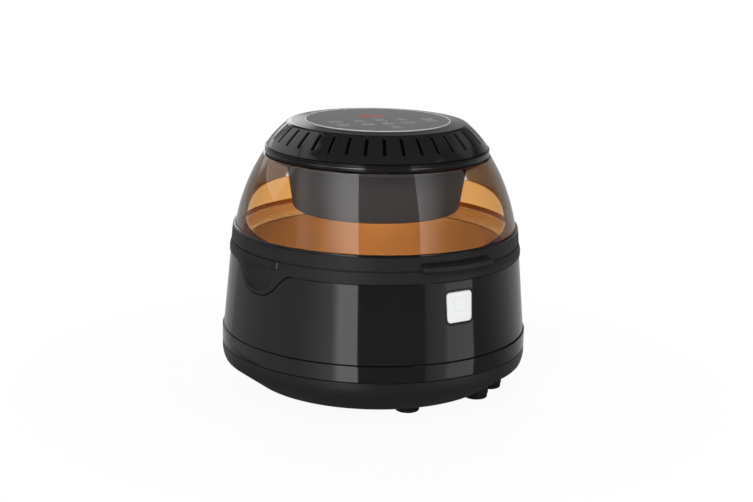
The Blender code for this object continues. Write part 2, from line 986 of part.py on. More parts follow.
for side, side_sign in (("left", -1), ("right", 1)):
    screw = rod(
        "hinge_screw_" + side,
        screw_head_radius,
        (side_sign * screw_spread, plate_back + fit_gap, hinge_height - screw_drop),
        screw_head_height,
        "Y",
        bright_steel,
        steps=pin_steps // 2,
    )
    bevelled(screw, screw_head_height / 3)

# Cord gland at the rear
gland_flange = shell_radius(gland_height - gland_flange_radius) + fit_gap
gland_root = gland_flange + gland_flange_length - gland_length
gland = turned(
    "cord_gland",
    [
        (gland_radius, gland_root),
        (gland_radius, gland_flange),
        (gland_flange_radius, gland_flange),
        (gland_flange_radius, gland_flange + gland_flange_length),
        (gland_bore_radius, gland_flange + gland_flange_length),
        (gland_bore_radius, gland_root),
    ],
    rubber_black,
    steps=pin_steps,
)
gland.rotation_euler = (math.radians(-90), 0, 0)
gland.location = (0, 0, gland_height)
gland_hole = rod(
    "gland_hole",
    gland_radius + fit_gap,
    (0, gland_root, gland_height),
    gland_length + cut_overrun,
    "Y",
)
cut(body_shell, gland_hole)

# Lid ring with its lift tab and its hinge knuckle
lid_axis = joint_axis("lid_axis", (0, hinge_reach, hinge_height))
ring_low = lid_seam + half_gap
groove_inner = ring_lip_radius - groove_width
lid_ring = turned(
    "lid_ring",
    [
        (ring_foot_radius, ring_low),
        *arc_between(
            (ring_shoulder_radius, ring_top - ring_shoulder_drop),
            (ring_lip_radius, ring_top),
            ring_shoulder_drop * 1.3,
            3,
        ),
        (ring_lip_radius, ring_top - groove_depth),
        (groove_inner, ring_top - groove_depth),
        (groove_inner, ring_top - ring_inner_drop),
        (ring_bore_radius, ring_top - ring_inner_drop),
        (ring_bore_radius, ring_low),
    ],
    satin_black,
    lid_axis,
)
tab_outer = ring_foot_radius + tab_reach


def tab_outline():
    """The tab in plan: an arc at the front, with its two ends drawn in."""
    straight = tab_half_angle - tab_end_round_angle
    points = []
    for step in range(-6, 7):
        points.append(on_circle(tab_outer, straight * step / 6))
    points.append(on_circle(tab_outer - tab_reach / 4, tab_half_angle - tab_end_round_angle / 4))
    points.append(on_circle(ring_foot_radius - tab_reach / 4, tab_half_angle))
    points.append(on_circle(groove_inner + groove_width, 0))
    points.append(on_circle(ring_foot_radius - tab_reach / 4, -tab_half_angle))
    points.append(on_circle(tab_outer - tab_reach / 4, -tab_half_angle + tab_end_round_angle / 4))
    return points


tab = plate("lift_tab", [tab_outline()], ring_low, ring_low + tab_thickness)
join(lid_ring, tab)
hollow_middle = tab_outer - tab_hollow_radial - edge_chamfer * 2
hollow_top = ring_low + tab_hollow_height
hollow_profile = []
for step in range(7):
    turn = math.pi * step / 6
    hollow_profile.append(
        (
            hollow_middle + tab_hollow_radial * math.cos(turn),
            hollow_top - tab_hollow_drop * math.sin(turn),
        )
    )
tab_hollow = turned("tab_hollow", hollow_profile)
tab_window = prism(
    "tab_window",
    [
        [
            on_arc
            for on_arc in (
                (-ring_foot_radius * math.sin(math.radians(tab_half_angle - 1)), ring_low),
                (ring_foot_radius * math.sin(math.radians(tab_half_angle - 1)), ring_low),
                (ring_foot_radius * math.sin(math.radians(tab_half_angle - 2)), ring_top),
                (-ring_foot_radius * math.sin(math.radians(tab_half_angle - 2)), ring_top),
            )
        ]
    ],
    ring_bore_radius / 2,
    band_radius + cut_overrun,
)
keep_inside(tab_hollow, tab_window)
cut(lid_ring, tab_hollow)
for side, start in (("left", -pocket_half_width), ("right", knuckle_half_width)):
    knuckle_space = rod(
        "knuckle_space_" + side,
        knuckle_room,
        (start, hinge_reach, hinge_height),
        pocket_half_width - knuckle_half_width,
        "X",
    )
    cut(lid_ring, knuckle_space)
lid_knuckle = rod(
    "lid_knuckle",
    knuckle_radius,
    (-knuckle_half_width, hinge_reach, hinge_height),
    2 * knuckle_half_width,
    "X",
)
join(lid_ring, lid_knuckle)
knuckle_bore = rod(
    "knuckle_bore",
    pin_bore,
    (-knuckle_half_width - cut_overrun, hinge_reach, hinge_height),
    2 * (knuckle_half_width + cut_overrun),
    "X",
)
cut(lid_ring, knuckle_bore)
block(
    "latch_striker",
    (-striker_width / 2, striker_front, ring_low - fit_gap - striker_drop),
    (striker_width / 2, striker_back, ring_low - fit_gap),
    bright_steel,
    lid_axis,
)

# Lid gasket, which presses on the pot's rim
gasket_low = pot_rim_high + fit_gap
gasket_outer = pot_rim_radius
gasket_high = gasket_low + gasket_height
turned(
    "lid_gasket",
    [
        (ring_bore_radius - fit_gap, gasket_high),
        (ring_bore_radius - fit_gap, ring_low + fit_gap),
        (gasket_outer, gasket_low),
        (gasket_inner_radius, gasket_low),
        (gasket_inner_radius, gasket_low + gasket_lip),
        (ring_bore_radius - gasket_wall, gasket_low + 2 * gasket_lip),
        (ring_bore_radius - gasket_wall, gasket_high),
    ],
    seal_grey,
    lid_axis,
    steps=core_steps,
)

# Glass dome
dome_foot = ring_top - groove_depth + fit_gap
dome_shoulder = (dome_shoulder_radius, dome_top - dome_shoulder_drop)
dome_start = (dome_foot_radius, ring_top)
flange_low = dome_top - glass_thickness
inner_arc = arc_between(dome_start, dome_shoulder, dome_arc_radius, dome_arc_steps, glass_thickness)
turned(
    "glass_dome",
    [
        (dome_foot_radius, dome_foot),
        *arc_between(dome_start, dome_shoulder, dome_arc_radius, dome_arc_steps),
        ((dome_shoulder_radius + dome_flat_radius) / 2, dome_top - dome_shoulder_drop / 4),
        (dome_flat_radius, dome_top),
        (dome_hole_radius, dome_top),
        (dome_hole_radius, flange_low),
        (dome_flat_radius - glass_thickness / 2, flange_low),
        *inner_arc[-2::-1],
        (dome_foot_radius - glass_thickness, dome_foot),
    ],
    amber_glass,
    lid_axis,
)

# Heater housing, the bucket under the cap
bucket_top = flange_low - fit_gap
bucket_plate = bucket_top - heater_plate
bucket_foot = bucket_top - heater_drop
bucket_low = (heater_low_radius, bucket_foot + heater_corner)
bucket_corner = (heater_low_radius - heater_corner, bucket_foot)
turned(
    "heater_housing",
    [
        (heater_flange_radius, bucket_top),
        (heater_flange_radius, bucket_plate),
        (heater_top_radius, bucket_plate),
        *arc_between(bucket_corner, bucket_low, heater_corner, 2)[::-1],
        (heater_lip_radius, bucket_foot),
        (heater_lip_radius, bucket_foot + heater_wall),
        *arc_between(bucket_corner, bucket_low, heater_corner, 2, heater_wall),
        (heater_top_radius - heater_wall, bucket_plate),
        (heater_shaft_hole, bucket_plate),
        (heater_shaft_hole, bucket_top),
    ],
    satin_black,
    lid_axis,
    steps=core_steps,
)

# Reflector under the housing's top plate
reflector_high = bucket_plate - reflector_drop
reflector_rise_share = (reflector_high - bucket_low[1]) / (bucket_plate - bucket_low[1])
wall_at_reflector = heater_low_radius + (heater_top_radius - heater_low_radius) * reflector_rise_share
turned(
    "reflector",
    [
        (wall_at_reflector - heater_wall - reflector_slack, reflector_high),
        (wall_at_reflector - heater_wall - reflector_slack, reflector_high - reflector_thickness),
        (reflector_hole, reflector_high - reflector_thickness),
        (reflector_hole, reflector_high),
    ],
    bright_steel,
    lid_axis,
    steps=core_steps,
)

# Grille across the housing's mouth
grille_low = bucket_foot + heater_wall + fit_gap
grille_radius = heater_low_radius - heater_corner
grille_ring_outer = grille_radius - grille_ring_inset
grille_ring_inner = grille_ring_outer - grille_ring_width


def grille_window(inner, outer, azimuth, span):
    half = math.radians(span / 2)
    trims = (grille_rib / 2 / inner, grille_rib / 2 / outer)
    turn = math.radians(azimuth)
    points = []
    for share in (-1, 0, 1):
        angle = turn + share * (half - trims[1])
        points.append((outer * math.cos(angle), outer * math.sin(angle)))
    for share in (1, 0, -1):
        angle = turn + share * (half - trims[0])
        points.append((inner * math.cos(angle), inner * math.sin(angle)))
    return points


windows = []
window_span = 360 / grille_windows
for index in range(grille_windows):
    windows.append(
        grille_window(
            grille_ring_inner + grille_rib / 2, grille_ring_outer, window_span * index, window_span
        )
    )
    windows.append(
        grille_window(
            grille_hub_radius, grille_ring_inner - grille_rib / 2, window_span * index, window_span
        )
    )
plate(
    "heater_grille",
    [circle(grille_radius, core_steps), *windows],
    grille_low,
    grille_low + grille_thickness,
    dark_steel,
    lid_axis,
)

# Heating element: one turn of tube with both ends run up through the reflector's plane
element_height = bucket_foot + element_rise
element_end = reflector_high - reflector_thickness - fit_gap
element_curve = bpy.data.curves.new("heating_element", "CURVE")
element_curve.dimensions = "3D"
element_curve.bevel_depth = element_tube
element_curve.bevel_resolution = 1
element_curve.use_fill_caps = True
element_route = []
element_span = 360 - element_gap_angle
for index in range(element_points + 1):
    angle = math.radians(element_gap_angle / 2 + element_span * index / element_points)
    element_route.append(
        (element_radius * math.sin(angle), element_radius * math.cos(angle), element_height)
    )
rise = element_end - element_height
bend = element_tube * 2
first, last = element_route[0], element_route[-1]
element_route = (
    [(first[0], first[1], element_end), (first[0], first[1], element_height + bend)]
    + element_route[1:-1]
    + [(last[0], last[1], element_height + bend), (last[0], last[1], element_end)]
)
element_spline = element_curve.splines.new("POLY")
element_spline.points.add(len(element_route) - 1)
for point, position in zip(element_spline.points, element_route):
    point.co = (*position, 1)
place(
    bpy.data.objects.new("heating_element", curve_mesh("heating_element", element_curve)),
    dark_steel,
    lid_axis,
)

# Temperature probe, down from the reflector
rod(
    "temperature_probe",
    probe_radius,
    (*on_circle(probe_circle, 90), reflector_high - reflector_thickness - fit_gap - probe_length),
    probe_length,
    "Z",
    bright_steel,
    lid_axis,
    steps=pin_steps // 2,
)

# Clamp ring, the lip under the cap
clamp_low = dome_top + fit_gap
clamp_high = clamp_top - half_gap
turned(
    "clamp_ring",
    [
        (clamp_radius - clamp_step, clamp_high),
        (clamp_radius - clamp_step, clamp_high - clamp_step_height),
        (clamp_radius, clamp_high - clamp_step_height - edge_chamfer),
        (clamp_radius, clamp_low + clamp_foot_inset),
        (clamp_radius - clamp_foot_inset, clamp_low),
        (clamp_inner_radius, clamp_low),
        (clamp_inner_radius, clamp_high),
    ],
    gloss_black,
    lid_axis,
)

# Vent cap: a slotted cone with a shoulder round the panel
cap_low = clamp_top + half_gap
cone_foot = (cap_foot_radius, cap_low + edge_chamfer)
cone_head = (cap_cone_radius, cap_low + cap_cone_height)
shoulder_point = (cap_shoulder_radius, oven_top - cap_shoulder_drop)
cone_arc = arc_between(cone_foot, cone_head, cap_cone_bulge, 2)
cone_inner = arc_between(cone_foot, cone_head, cap_cone_bulge, 2, cap_wall)
corner_arc = arc_between(cone_head, shoulder_point, cap_corner_round, 3)
panel_top = oven_top - panel_sink
panel_low = panel_top - panel_thickness
ledge_top = panel_low - fit_gap
ledge_low = ledge_top - cap_ledge_thickness
panel_hole = panel_radius + fit_gap
vent_cap = turned(
    "vent_cap",
    [
        (panel_hole, oven_top),
        *corner_arc[::-1],
        *cone_arc[-2::-1],
        (cap_foot_radius, cap_low),
        (cap_foot_radius - cap_wall * 1.3, cap_low),
        *cone_inner[1:],
        (cap_shoulder_radius, ledge_low),
        (cap_ledge_radius, ledge_low),
        (cap_ledge_radius, ledge_top),
        (panel_hole, ledge_top),
    ],
    gloss_black,
    lid_axis,
)
slope_run = cone_foot[0] - cone_head[0]
slope_rise = cone_head[1] - cone_foot[1]
slope_angle = math.atan2(slope_rise, slope_run)
slot_share = (cap_foot_radius - slot_circle) / slope_run
slot_height = cone_foot[1] + slope_rise * slot_share
slot_outline = []
for end in (1, -1):
    for step in range(slot_end_points):
        turn = math.radians(180 * step / (slot_end_points - 1)) + (0 if end > 0 else math.pi)
        slot_outline.append(
            (
                slot_width / 2 * math.cos(turn),
                end * (slot_length - slot_width) / 2 + slot_width / 2 * math.sin(turn),
            )
        )
slot_mesh = outline_mesh("slot", [slot_outline], 2 * (cap_wall + cut_overrun))
slots = bmesh.new()
for index in range(slot_count):
    before = len(slots.verts)
    slots.from_mesh(slot_mesh)
    slots.verts.ensure_lookup_table()
    azimuth = slot_phase + 360 * index / slot_count
    bmesh.ops.transform(
        slots,
        verts=slots.verts[before:],
        matrix=Matrix.Rotation(math.radians(azimuth), 4, "Z")
        @ Matrix.Translation((0, -slot_circle, slot_height))
        @ Matrix.Rotation(slope_angle, 4, "X"),
    )
slot_cutter = from_bmesh("slot_cutter", slots, None, None)
cut(vent_cap, slot_cutter)

# Touch panel, display module and control board
turned(
    "touch_panel",
    [
        (0, panel_top),
        (panel_radius - edge_chamfer / 2, panel_top),
        (panel_radius, panel_top - edge_chamfer / 2),
        (panel_radius, panel_low),
        (0, panel_low),
    ],
    panel_grey,
    lid_axis,
)
board_top = ledge_low - fit_gap
board_low = board_top - board_thickness
rod(
    "control_board",
    board_radius,
    (0, 0, board_low),
    board_thickness,
    "Z",
    board_green,
    lid_axis,
    steps=core_steps,
)
block(
    "display_module",
    (-display_width / 2, display_back - display_length, board_top + fit_gap),
    (display_width / 2, display_back, panel_low - fit_gap),
    display_red,
    lid_axis,
)

# Motor plate and fan motor
motor_plate_low = dome_top + fit_gap
motor_plate_high = motor_plate_low + motor_plate_thickness
turned(
    "motor_plate",
    [
        (clamp_inner_radius - fit_gap, motor_plate_high),
        (clamp_inner_radius - fit_gap, motor_plate_low),
        (motor_plate_hole, motor_plate_low),
        (motor_plate_hole, motor_plate_high),
    ],
    dark_steel,
    lid_axis,
    steps=core_steps,
)
motor_low = motor_plate_high + fit_gap
motor_high = motor_low + motor_height
motor_bore = shaft_radius + shaft_play
turned(
    "fan_motor",
    [
        (motor_boss_radius, motor_high + motor_boss_height),
        (motor_boss_radius, motor_high),
        (motor_radius, motor_high),
        (motor_radius, motor_low),
        (motor_bore, motor_low),
        (motor_bore, motor_high + motor_boss_height),
    ],
    dark_steel,
    lid_axis,
    steps=pin_steps,
)

# Shaft with the cooling fan in the cap and the hot air fan in the heater housing
rotor_axis = joint_axis("rotor_axis", (0, 0, motor_low), lid_axis)
hot_fan_high = reflector_high - reflector_thickness - hot_fan_drop + hot_fan_height
hot_fan_low = hot_fan_high - hot_fan_height
cooling_fan_low = motor_high + motor_boss_height + cooling_fan_clearance
shaft_low = hot_fan_low - shaft_foot
shaft_top = board_low - shaft_top_clearance
rod(
    "motor_shaft",
    shaft_radius,
    (0, 0, shaft_low),
    shaft_top - shaft_low,
    "Z",
    bright_steel,
    rotor_axis,
)


def fan_outline(radius, blades, blade):
    """A hub with straight blades, as one outline in plan."""
    points = []
    half_tip = math.asin(blade / 2 / radius)
    half_root = math.asin(blade / 2 / fan_hub_radius)
    lean = math.radians(24)
    for index in range(blades):
        turn = 2 * math.pi * index / blades
        for reach, angle in (
            (fan_hub_radius, turn - half_root),
            (radius, turn + lean - half_tip),
            (radius, turn + lean + half_tip),
            (fan_hub_radius, turn + half_root),
        ):
            points.append((reach * math.cos(angle), reach * math.sin(angle)))
    return points


fan_bore = circle(shaft_radius + fit_gap, pin_steps)
plate(
    "cooling_fan",
    [fan_outline(cooling_fan_radius, cooling_blades, blade_thickness), fan_bore],
    cooling_fan_low,
    cooling_fan_low + cooling_fan_height,
    panel_grey,
    rotor_axis,
)
plate(
    "convection_fan",
    [fan_outline(hot_fan_radius, hot_blades, blade_thickness), fan_bore],
    hot_fan_low,
    hot_fan_high,
    bright_steel,
    rotor_axis,
)

# Each piece becomes a mesh with its modifiers applied, and is shaded smooth up to its corners
sharp_angle = math.radians(32)
bpy.context.view_layer.update()
depsgraph = bpy.context.evaluated_depsgraph_get()
finished = {}
for piece in pieces.objects:
    if piece.type == "MESH":
        finished[piece] = bpy.data.meshes.new_from_object(piece.evaluated_get(depsgraph))
for piece, mesh in finished.items():
    piece.modifiers.clear()
    piece.data = mesh
    mesh.name = piece.name
    mesh.shade_smooth()
    mesh.set_sharp_from_angle(angle=sharp_angle)
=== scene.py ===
import math

import bmesh
import bpy
import numpy as np
from mathutils import Matrix, Vector


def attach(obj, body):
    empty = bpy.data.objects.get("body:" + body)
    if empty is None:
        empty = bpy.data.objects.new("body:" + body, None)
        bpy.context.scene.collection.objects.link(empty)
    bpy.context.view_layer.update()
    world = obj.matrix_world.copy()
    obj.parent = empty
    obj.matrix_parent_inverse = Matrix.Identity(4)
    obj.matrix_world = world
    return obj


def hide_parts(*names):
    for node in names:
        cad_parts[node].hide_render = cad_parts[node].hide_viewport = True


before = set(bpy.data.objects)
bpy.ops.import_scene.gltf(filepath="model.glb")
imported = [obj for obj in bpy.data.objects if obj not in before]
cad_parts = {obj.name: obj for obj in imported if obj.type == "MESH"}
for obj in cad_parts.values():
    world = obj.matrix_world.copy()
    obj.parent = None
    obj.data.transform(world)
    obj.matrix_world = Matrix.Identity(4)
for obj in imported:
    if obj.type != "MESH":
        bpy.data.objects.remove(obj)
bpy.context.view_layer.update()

scene = bpy.context.scene

# Shared measures of the oven, in metres
oven = {
    "clearance": 0.00015,      # half the gap at a seam
    "panTop": 0.052,
    "bandTop": 0.071,
    "shellTop": 0.158,
    "lidSeam": 0.172,
    "ringTop": 0.1895,
    "domeTop": 0.2695,
    "clampTop": 0.2788,
    "widest": 0.175,
    "shellFoot": 0.1734,
    "shellHead": 0.1655,
}
gap = oven["clearance"]
ease = {"thin": 0.0002, "crisp": 0.0003, "fine": 0.0004, "small": 0.0005, "soft": 0.0006,
        "full": 0.0008, "wide": 0.002, "deep": 0.004}      # radii of small edges
wide = oven["widest"]
turnSteps = {"outer": 300, "round": 240, "small": 48}      # round a piece's axis


# Shapes worked out with numpy

def onCircle(radius, azimuth, height):
    # a point at a radius and height, turned from the front toward +X
    x = radius * np.sin(azimuth)
    y = -radius * np.cos(azimuth)
    return np.stack(np.broadcast_arrays(x, y, height), -1)


def fullTurn(steps, first=0.0):
    # equal steps once round, in radians
    return np.radians(first) + np.arange(steps) * 2 * np.pi / steps


def outline(corners, arcSteps=4, guard=0.0004):
    # corners are (x, y, fillet): each becomes an arc that touches both its sides, with a point
    # just before and after it to keep the shading flat. A fillet of 0 keeps the bare point.
    table = np.array(corners, float)
    spot, fillet = table[:, :2], table[:, 2:3]
    before = np.roll(spot, 1, 0) - spot
    after = np.roll(spot, -1, 0) - spot
    lengthBefore = np.linalg.norm(before, axis=1, keepdims=True)
    lengthAfter = np.linalg.norm(after, axis=1, keepdims=True)
    before /= np.maximum(lengthBefore, 1e-9)
    after /= np.maximum(lengthAfter, 1e-9)
    half = np.arccos(np.clip((before * after).sum(1, keepdims=True), -1, 1)) / 2
    half = np.clip(half, 1e-3, np.pi / 2)
    reach = fillet / np.tan(half)
    middle = before + after
    middle /= np.maximum(np.linalg.norm(middle, axis=1, keepdims=True), 1e-9)
    centre = spot + middle * fillet / np.sin(half)
    start, end = spot + before * reach, spot + after * reach
    turn = np.maximum(np.pi - 2 * half, 1e-6)[:, None]
    share = np.linspace(0, 1, arcSteps + 1).reshape(1, -1, 1)
    fromStart = np.sin((1 - share) * turn) * (start - centre)[:, None]
    fromEnd = np.sin(share * turn) * (end - centre)[:, None]
    arc = centre[:, None] + (fromStart + fromEnd) / np.sin(turn)
    spareBefore = lengthBefore - reach - np.roll(reach, 1, 0)
    spareAfter = lengthAfter - reach - np.roll(reach, -1, 0)
    guardBefore = start + before * np.clip(spareBefore * 0.3, 0, guard)
    guardAfter = end + after * np.clip(spareAfter * 0.3, 0, guard)
    points = np.concatenate([guardBefore[:, None], arc, guardAfter[:, None]], 1)
    keep = np.broadcast_to(fillet > 0, points.shape[:2]).copy()
    keep[:, 1] = True
    return points[keep]


def arcBetween(low, high, radius, steps, inset=0.0):
    # points of an arc that bulges away from the axis, moved in by inset, each with no fillet
    low, high = np.array(low), np.array(high)
    chord = high - low
    length = np.hypot(*chord)
    back = math.sqrt(radius**2 - (length / 2) ** 2)
    centre = (low + high) / 2 + np.array([-chord[1], chord[0]]) / length * back
    first, last = [math.atan2(*(end - centre)[::-1]) for end in (low, high)]
    angle = np.linspace(first, last, steps + 1)
    reach = radius - inset
    rows = [centre[0] + reach * np.cos(angle), centre[1] + reach * np.sin(angle), 0 * angle]
    return np.stack(rows, -1).tolist()


def turned(corners, steps=240, arcSteps=4):
    # a closed outline of (radius, height, fillet) carried once round the Z axis
    rim = outline(corners, arcSteps)
    azimuth = fullTurn(steps)
    return onCircle(rim[None, :, 0], azimuth[:, None], rim[None, :, 1]), True, True


def quads(rows, columns, wrapRows, wrapColumns, offset):
    # faces between neighbouring samples of a grid
    i = np.arange(rows if wrapRows else rows - 1)[:, None]
    j = np.arange(columns if wrapColumns else columns - 1)[None, :]
    nextRow, nextColumn = (i + 1) % rows, (j + 1) % columns
    here, beyond = i * columns, nextRow * columns
    loop = [here + j, beyond + j, beyond + nextColumn, here + nextColumn]
    return np.stack(np.broadcast_arrays(*loop), -1).reshape(-1, 4) + offset


def meshOf(name, grids, merge=2e-6):
    # one mesh from grids of points, with doubles merged and faces pointing out
    points, faces, count = [], [], 0
    for grid, wrapRows, wrapColumns in grids:
        faces.append(quads(grid.shape[0], grid.shape[1], wrapRows, wrapColumns, count))
        points.append(grid.reshape(-1, 3))
        count += len(points[-1])
    mesh = bpy.data.meshes.new(name)
    mesh.from_pydata(np.concatenate(points).tolist(), [], np.concatenate(faces).tolist())
    shape = bmesh.new()
    shape.from_mesh(mesh)
    bmesh.ops.remove_doubles(shape, verts=shape.verts, dist=merge)
    bmesh.ops.dissolve_degenerate(shape, edges=shape.edges, dist=merge / 4)
    bmesh.ops.recalc_face_normals(shape, faces=shape.faces)
    if shape.calc_volume(signed=True) < 0:
        bmesh.ops.reverse_faces(shape, faces=shape.faces)
    shape.to_mesh(mesh)
    shape.free()
    return mesh


def finishMesh(mesh, sharpest=34):
    # smooth shading, broken at edges sharper than an angle in degrees
    mesh.shade_smooth()
    mesh.set_sharp_from_angle(angle=math.radians(sharpest))


def piece(name, grids, look, body, stands=(), sharpest=34, merge=2e-6):
    # a finished piece of the oven that rides on a body and stands for CAD nodes
    obj = bpy.data.objects.new(name, meshOf(name, grids, merge))
    scene.collection.objects.link(obj)
    finishMesh(obj.data, sharpest)
    obj.data.materials.append(look)
    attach(obj, body)
    if stands:
        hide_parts(*stands)
    return obj


def carve(obj, grids):
    # cuts a closed shape out of a piece
    tool = bpy.data.objects.new("tool", meshOf("tool", grids))
    scene.collection.objects.link(tool)
    cut = obj.modifiers.new("cut", "BOOLEAN")
    cut.operation = "DIFFERENCE"
    cut.solver = "EXACT"
    cut.object = tool
    graph = bpy.context.evaluated_depsgraph_get()
    made = bpy.data.meshes.new_from_object(obj.evaluated_get(graph))
    obj.modifiers.clear()
    old = obj.data
    obj.data = made
    made.name = obj.name
    bpy.data.meshes.remove(old)
    bpy.data.objects.remove(tool)
    finishMesh(obj.data)


def box(low, high):
    # a closed block from its lowest to its highest corner, as a square carried from end to end
    (x0, y0, z0), (x1, y1, z1) = low, high
    ring = np.array([[x0, y0], [x1, y0], [x1, y1], [x0, y1]])
    middle = ring.mean(0)
    rows = [(middle + 0 * ring, z0), (ring, z0), (ring, z1), (middle + 0 * ring, z1)]
    grid = np.stack([np.column_stack([xy, np.full(4, z)]) for xy, z in rows], 1)
    return grid, True, False


def bar(radius, start, length, axis, steps=48):
    # a closed round bar along X, Y or Z
    turn = fullTurn(steps)[:, None]
    reach = np.array([0, radius, radius, 0])[None, :]
    along = np.array([0, 0, length, length])[None, :]
    across, up, along = np.broadcast_arrays(reach * np.cos(turn), reach * np.sin(turn), along)
    order = {"X": (along, across, up), "Y": (up, along, across), "Z": (across, up, along)}[axis]
    return np.stack(order, -1) + np.array(start), True, False


def shellRadius(height):
    # the body's taper: a straight line from the shell's foot to its head
    share = (height - oven["bandTop"]) / (oven["shellTop"] - oven["bandTop"])
    return oven["shellFoot"] + (oven["shellHead"] - oven["shellFoot"]) * share


# Finishes

def nodeGroup(name, inputs, outputs):
    group = bpy.data.node_groups.new(name, "ShaderNodeTree")
    for label, kind, value in inputs:
        made = group.interface.new_socket(name=label, in_out="INPUT", socket_type=kind)
        if value is not None:
            made.default_value = value
    for label, kind in outputs:
        group.interface.new_socket(name=label, in_out="OUTPUT", socket_type=kind)
    return group, group.nodes.new("NodeGroupInput"), group.nodes.new("NodeGroupOutput")


def addNode(tree, kind, sockets, **settings):
    # a shader node with its settings, each named socket given a value or another node's output
    node = tree.nodes.new("ShaderNode" + kind)
    for key, setting in settings.items():
        setattr(node, key, setting)
    for label, value in sockets.items():
        if isinstance(value, bpy.types.NodeSocket):
            tree.links.new(value, node.inputs[label])
        else:
            node.inputs[label].default_value = value
    return node


def valueNode(tree, kind, first, second):
    # a Math node between two values or sockets
    return addNode(tree, "Math", {0: first, 1: second}, operation=kind).outputs["Value"]


def showMixed(tree, factor, first, second):
    # two shaders, mixed, as what the material shows
    mixed = addNode(tree, "MixShader", {"Fac": factor, 1: first, 2: second})
    tree.links.new(mixed.outputs["Shader"], tree.nodes["Material Output"].inputs["Surface"])


def handledSurface():
    # smudges: soft noise mapped between a low and a high roughness
    group, source, sink = nodeGroup(
        "handledSurface",
        [("Vector", "NodeSocketVector", None), ("Scale", "NodeSocketFloat", 18.0),
         ("Low", "NodeSocketFloat", 0.1), ("High", "NodeSocketFloat", 0.2)],
        [("Roughness", "NodeSocketFloat"), ("Mask", "NodeSocketFloat")],
    )
    given = source.outputs
    broad = addNode(group, "TexNoise", {
        "Vector": given["Vector"], "Scale": given["Scale"], "Detail": 5.0, "Roughness": 0.62,
    })
    spread = addNode(group, "MapRange", {
        "Value": broad.outputs["Fac"], "From Min": 0.35, "From Max": 0.7,
        "To Min": given["Low"], "To Max": given["High"],
    })
    group.links.new(spread.outputs["Result"], sink.inputs["Roughness"])
    group.links.new(broad.outputs["Fac"], sink.inputs["Mask"])
    return group


def mouldedGrain():
    # fine leather-like pits of moulded plastic: cells under a finer noise
    group, source, sink = nodeGroup(
        "mouldedGrain",
        [("Vector", "NodeSocketVector", None), ("Scale", "NodeSocketFloat", 900.0)],
        [("Height", "NodeSocketFloat")],
    )
    spread = {label: source.outputs[label] for label in ("Vector", "Scale")}
    cells = addNode(group, "TexVoronoi", spread)
    fine = addNode(group, "TexNoise", {**spread, "Detail": 3.0})
    both = addNode(group, "Math", {0: cells.outputs["Distance"], 1: 0.7, 2: fine.outputs["Fac"]},
                   operation="MULTIPLY_ADD")
    group.links.new(both.outputs["Value"], sink.inputs["Height"])
    return group


def brushedLines():
    # brushed metal: noise squeezed along one axis by a mapping
    group, source, sink = nodeGroup(
        "brushedLines",
        [("Vector", "NodeSocketVector", None), ("Stretch", "NodeSocketVector", (20.0, 20.0, 1800.0))],
        [("Height", "NodeSocketFloat")],
    )
    squeeze = addNode(group, "VectorMath", {0: source.outputs["Vector"], 1: source.outputs["Stretch"]},
                      operation="MULTIPLY")
    streaks = addNode(group, "TexNoise", {
        "Vector": squeeze.outputs["Vector"], "Scale": 1.0, "Detail": 4.0, "Roughness": 0.7,
    })
    group.links.new(streaks.outputs["Fac"], sink.inputs["Height"])
    return group


effects = {"handled": handledSurface(), "grain": mouldedGrain(), "brushed": brushedLines()}


def newLook(name):
    # a material with its node tree and its Principled shader
    look = bpy.data.materials.new(name)
    look.use_nodes = True
    return look, look.node_tree, look.node_tree.nodes["Principled BSDF"]


def effect(tree, name, sockets):
    # a shared effect, placed with a material's own values
    return addNode(tree, "Group", sockets, node_tree=effects[name])


def plasticLook(name, colour, roughness, specular=0.5, grain=0.0, grainScale=900.0,
                smudge=18.0, metallic=0.0, shade=0.12, pattern="grain"):
    # colour with a faint drift, handled roughness between two values, moulded or brushed bump
    look, tree, shader = newLook(name)
    place = addNode(tree, "TexCoord", {}).outputs["Object"]
    low, high = roughness
    handled = effect(tree, "handled", {"Scale": smudge, "Low": low, "High": high, "Vector": place})
    tree.links.new(handled.outputs["Roughness"], shader.inputs["Roughness"])
    drift = addNode(tree, "Mix", {
        "Factor": handled.outputs["Mask"],
        "A": (*[share * (1 - shade) for share in colour], 1),
        "B": (*[share * (1 + shade) for share in colour], 1),
    }, data_type="RGBA").outputs["Result"]
    tree.links.new(drift, shader.inputs["Base Color"])
    shader.inputs["Specular IOR Level"].default_value = specular
    shader.inputs["Metallic"].default_value = metallic
    if grain:
        size = "Scale" if pattern == "grain" else "Stretch"
        relief = effect(tree, pattern, {size: grainScale, "Vector": place})
        bump = addNode(tree, "Bump", {"Strength": 1.0, "Distance": grain,
                                      "Height": relief.outputs["Height"]})
        tree.links.new(bump.outputs["Normal"], shader.inputs["Normal"])
    return look


def litLook(name, colour, strength, roughness):
    # one even colour that glows
    look, tree, shader = newLook(name)
    shader.inputs["Base Color"].default_value = (*colour, 1)
    shader.inputs["Emission Color"].default_value = (*colour, 1)
    shader.inputs["Emission Strength"].default_value = strength
    shader.inputs["Roughness"].default_value = roughness
    return look


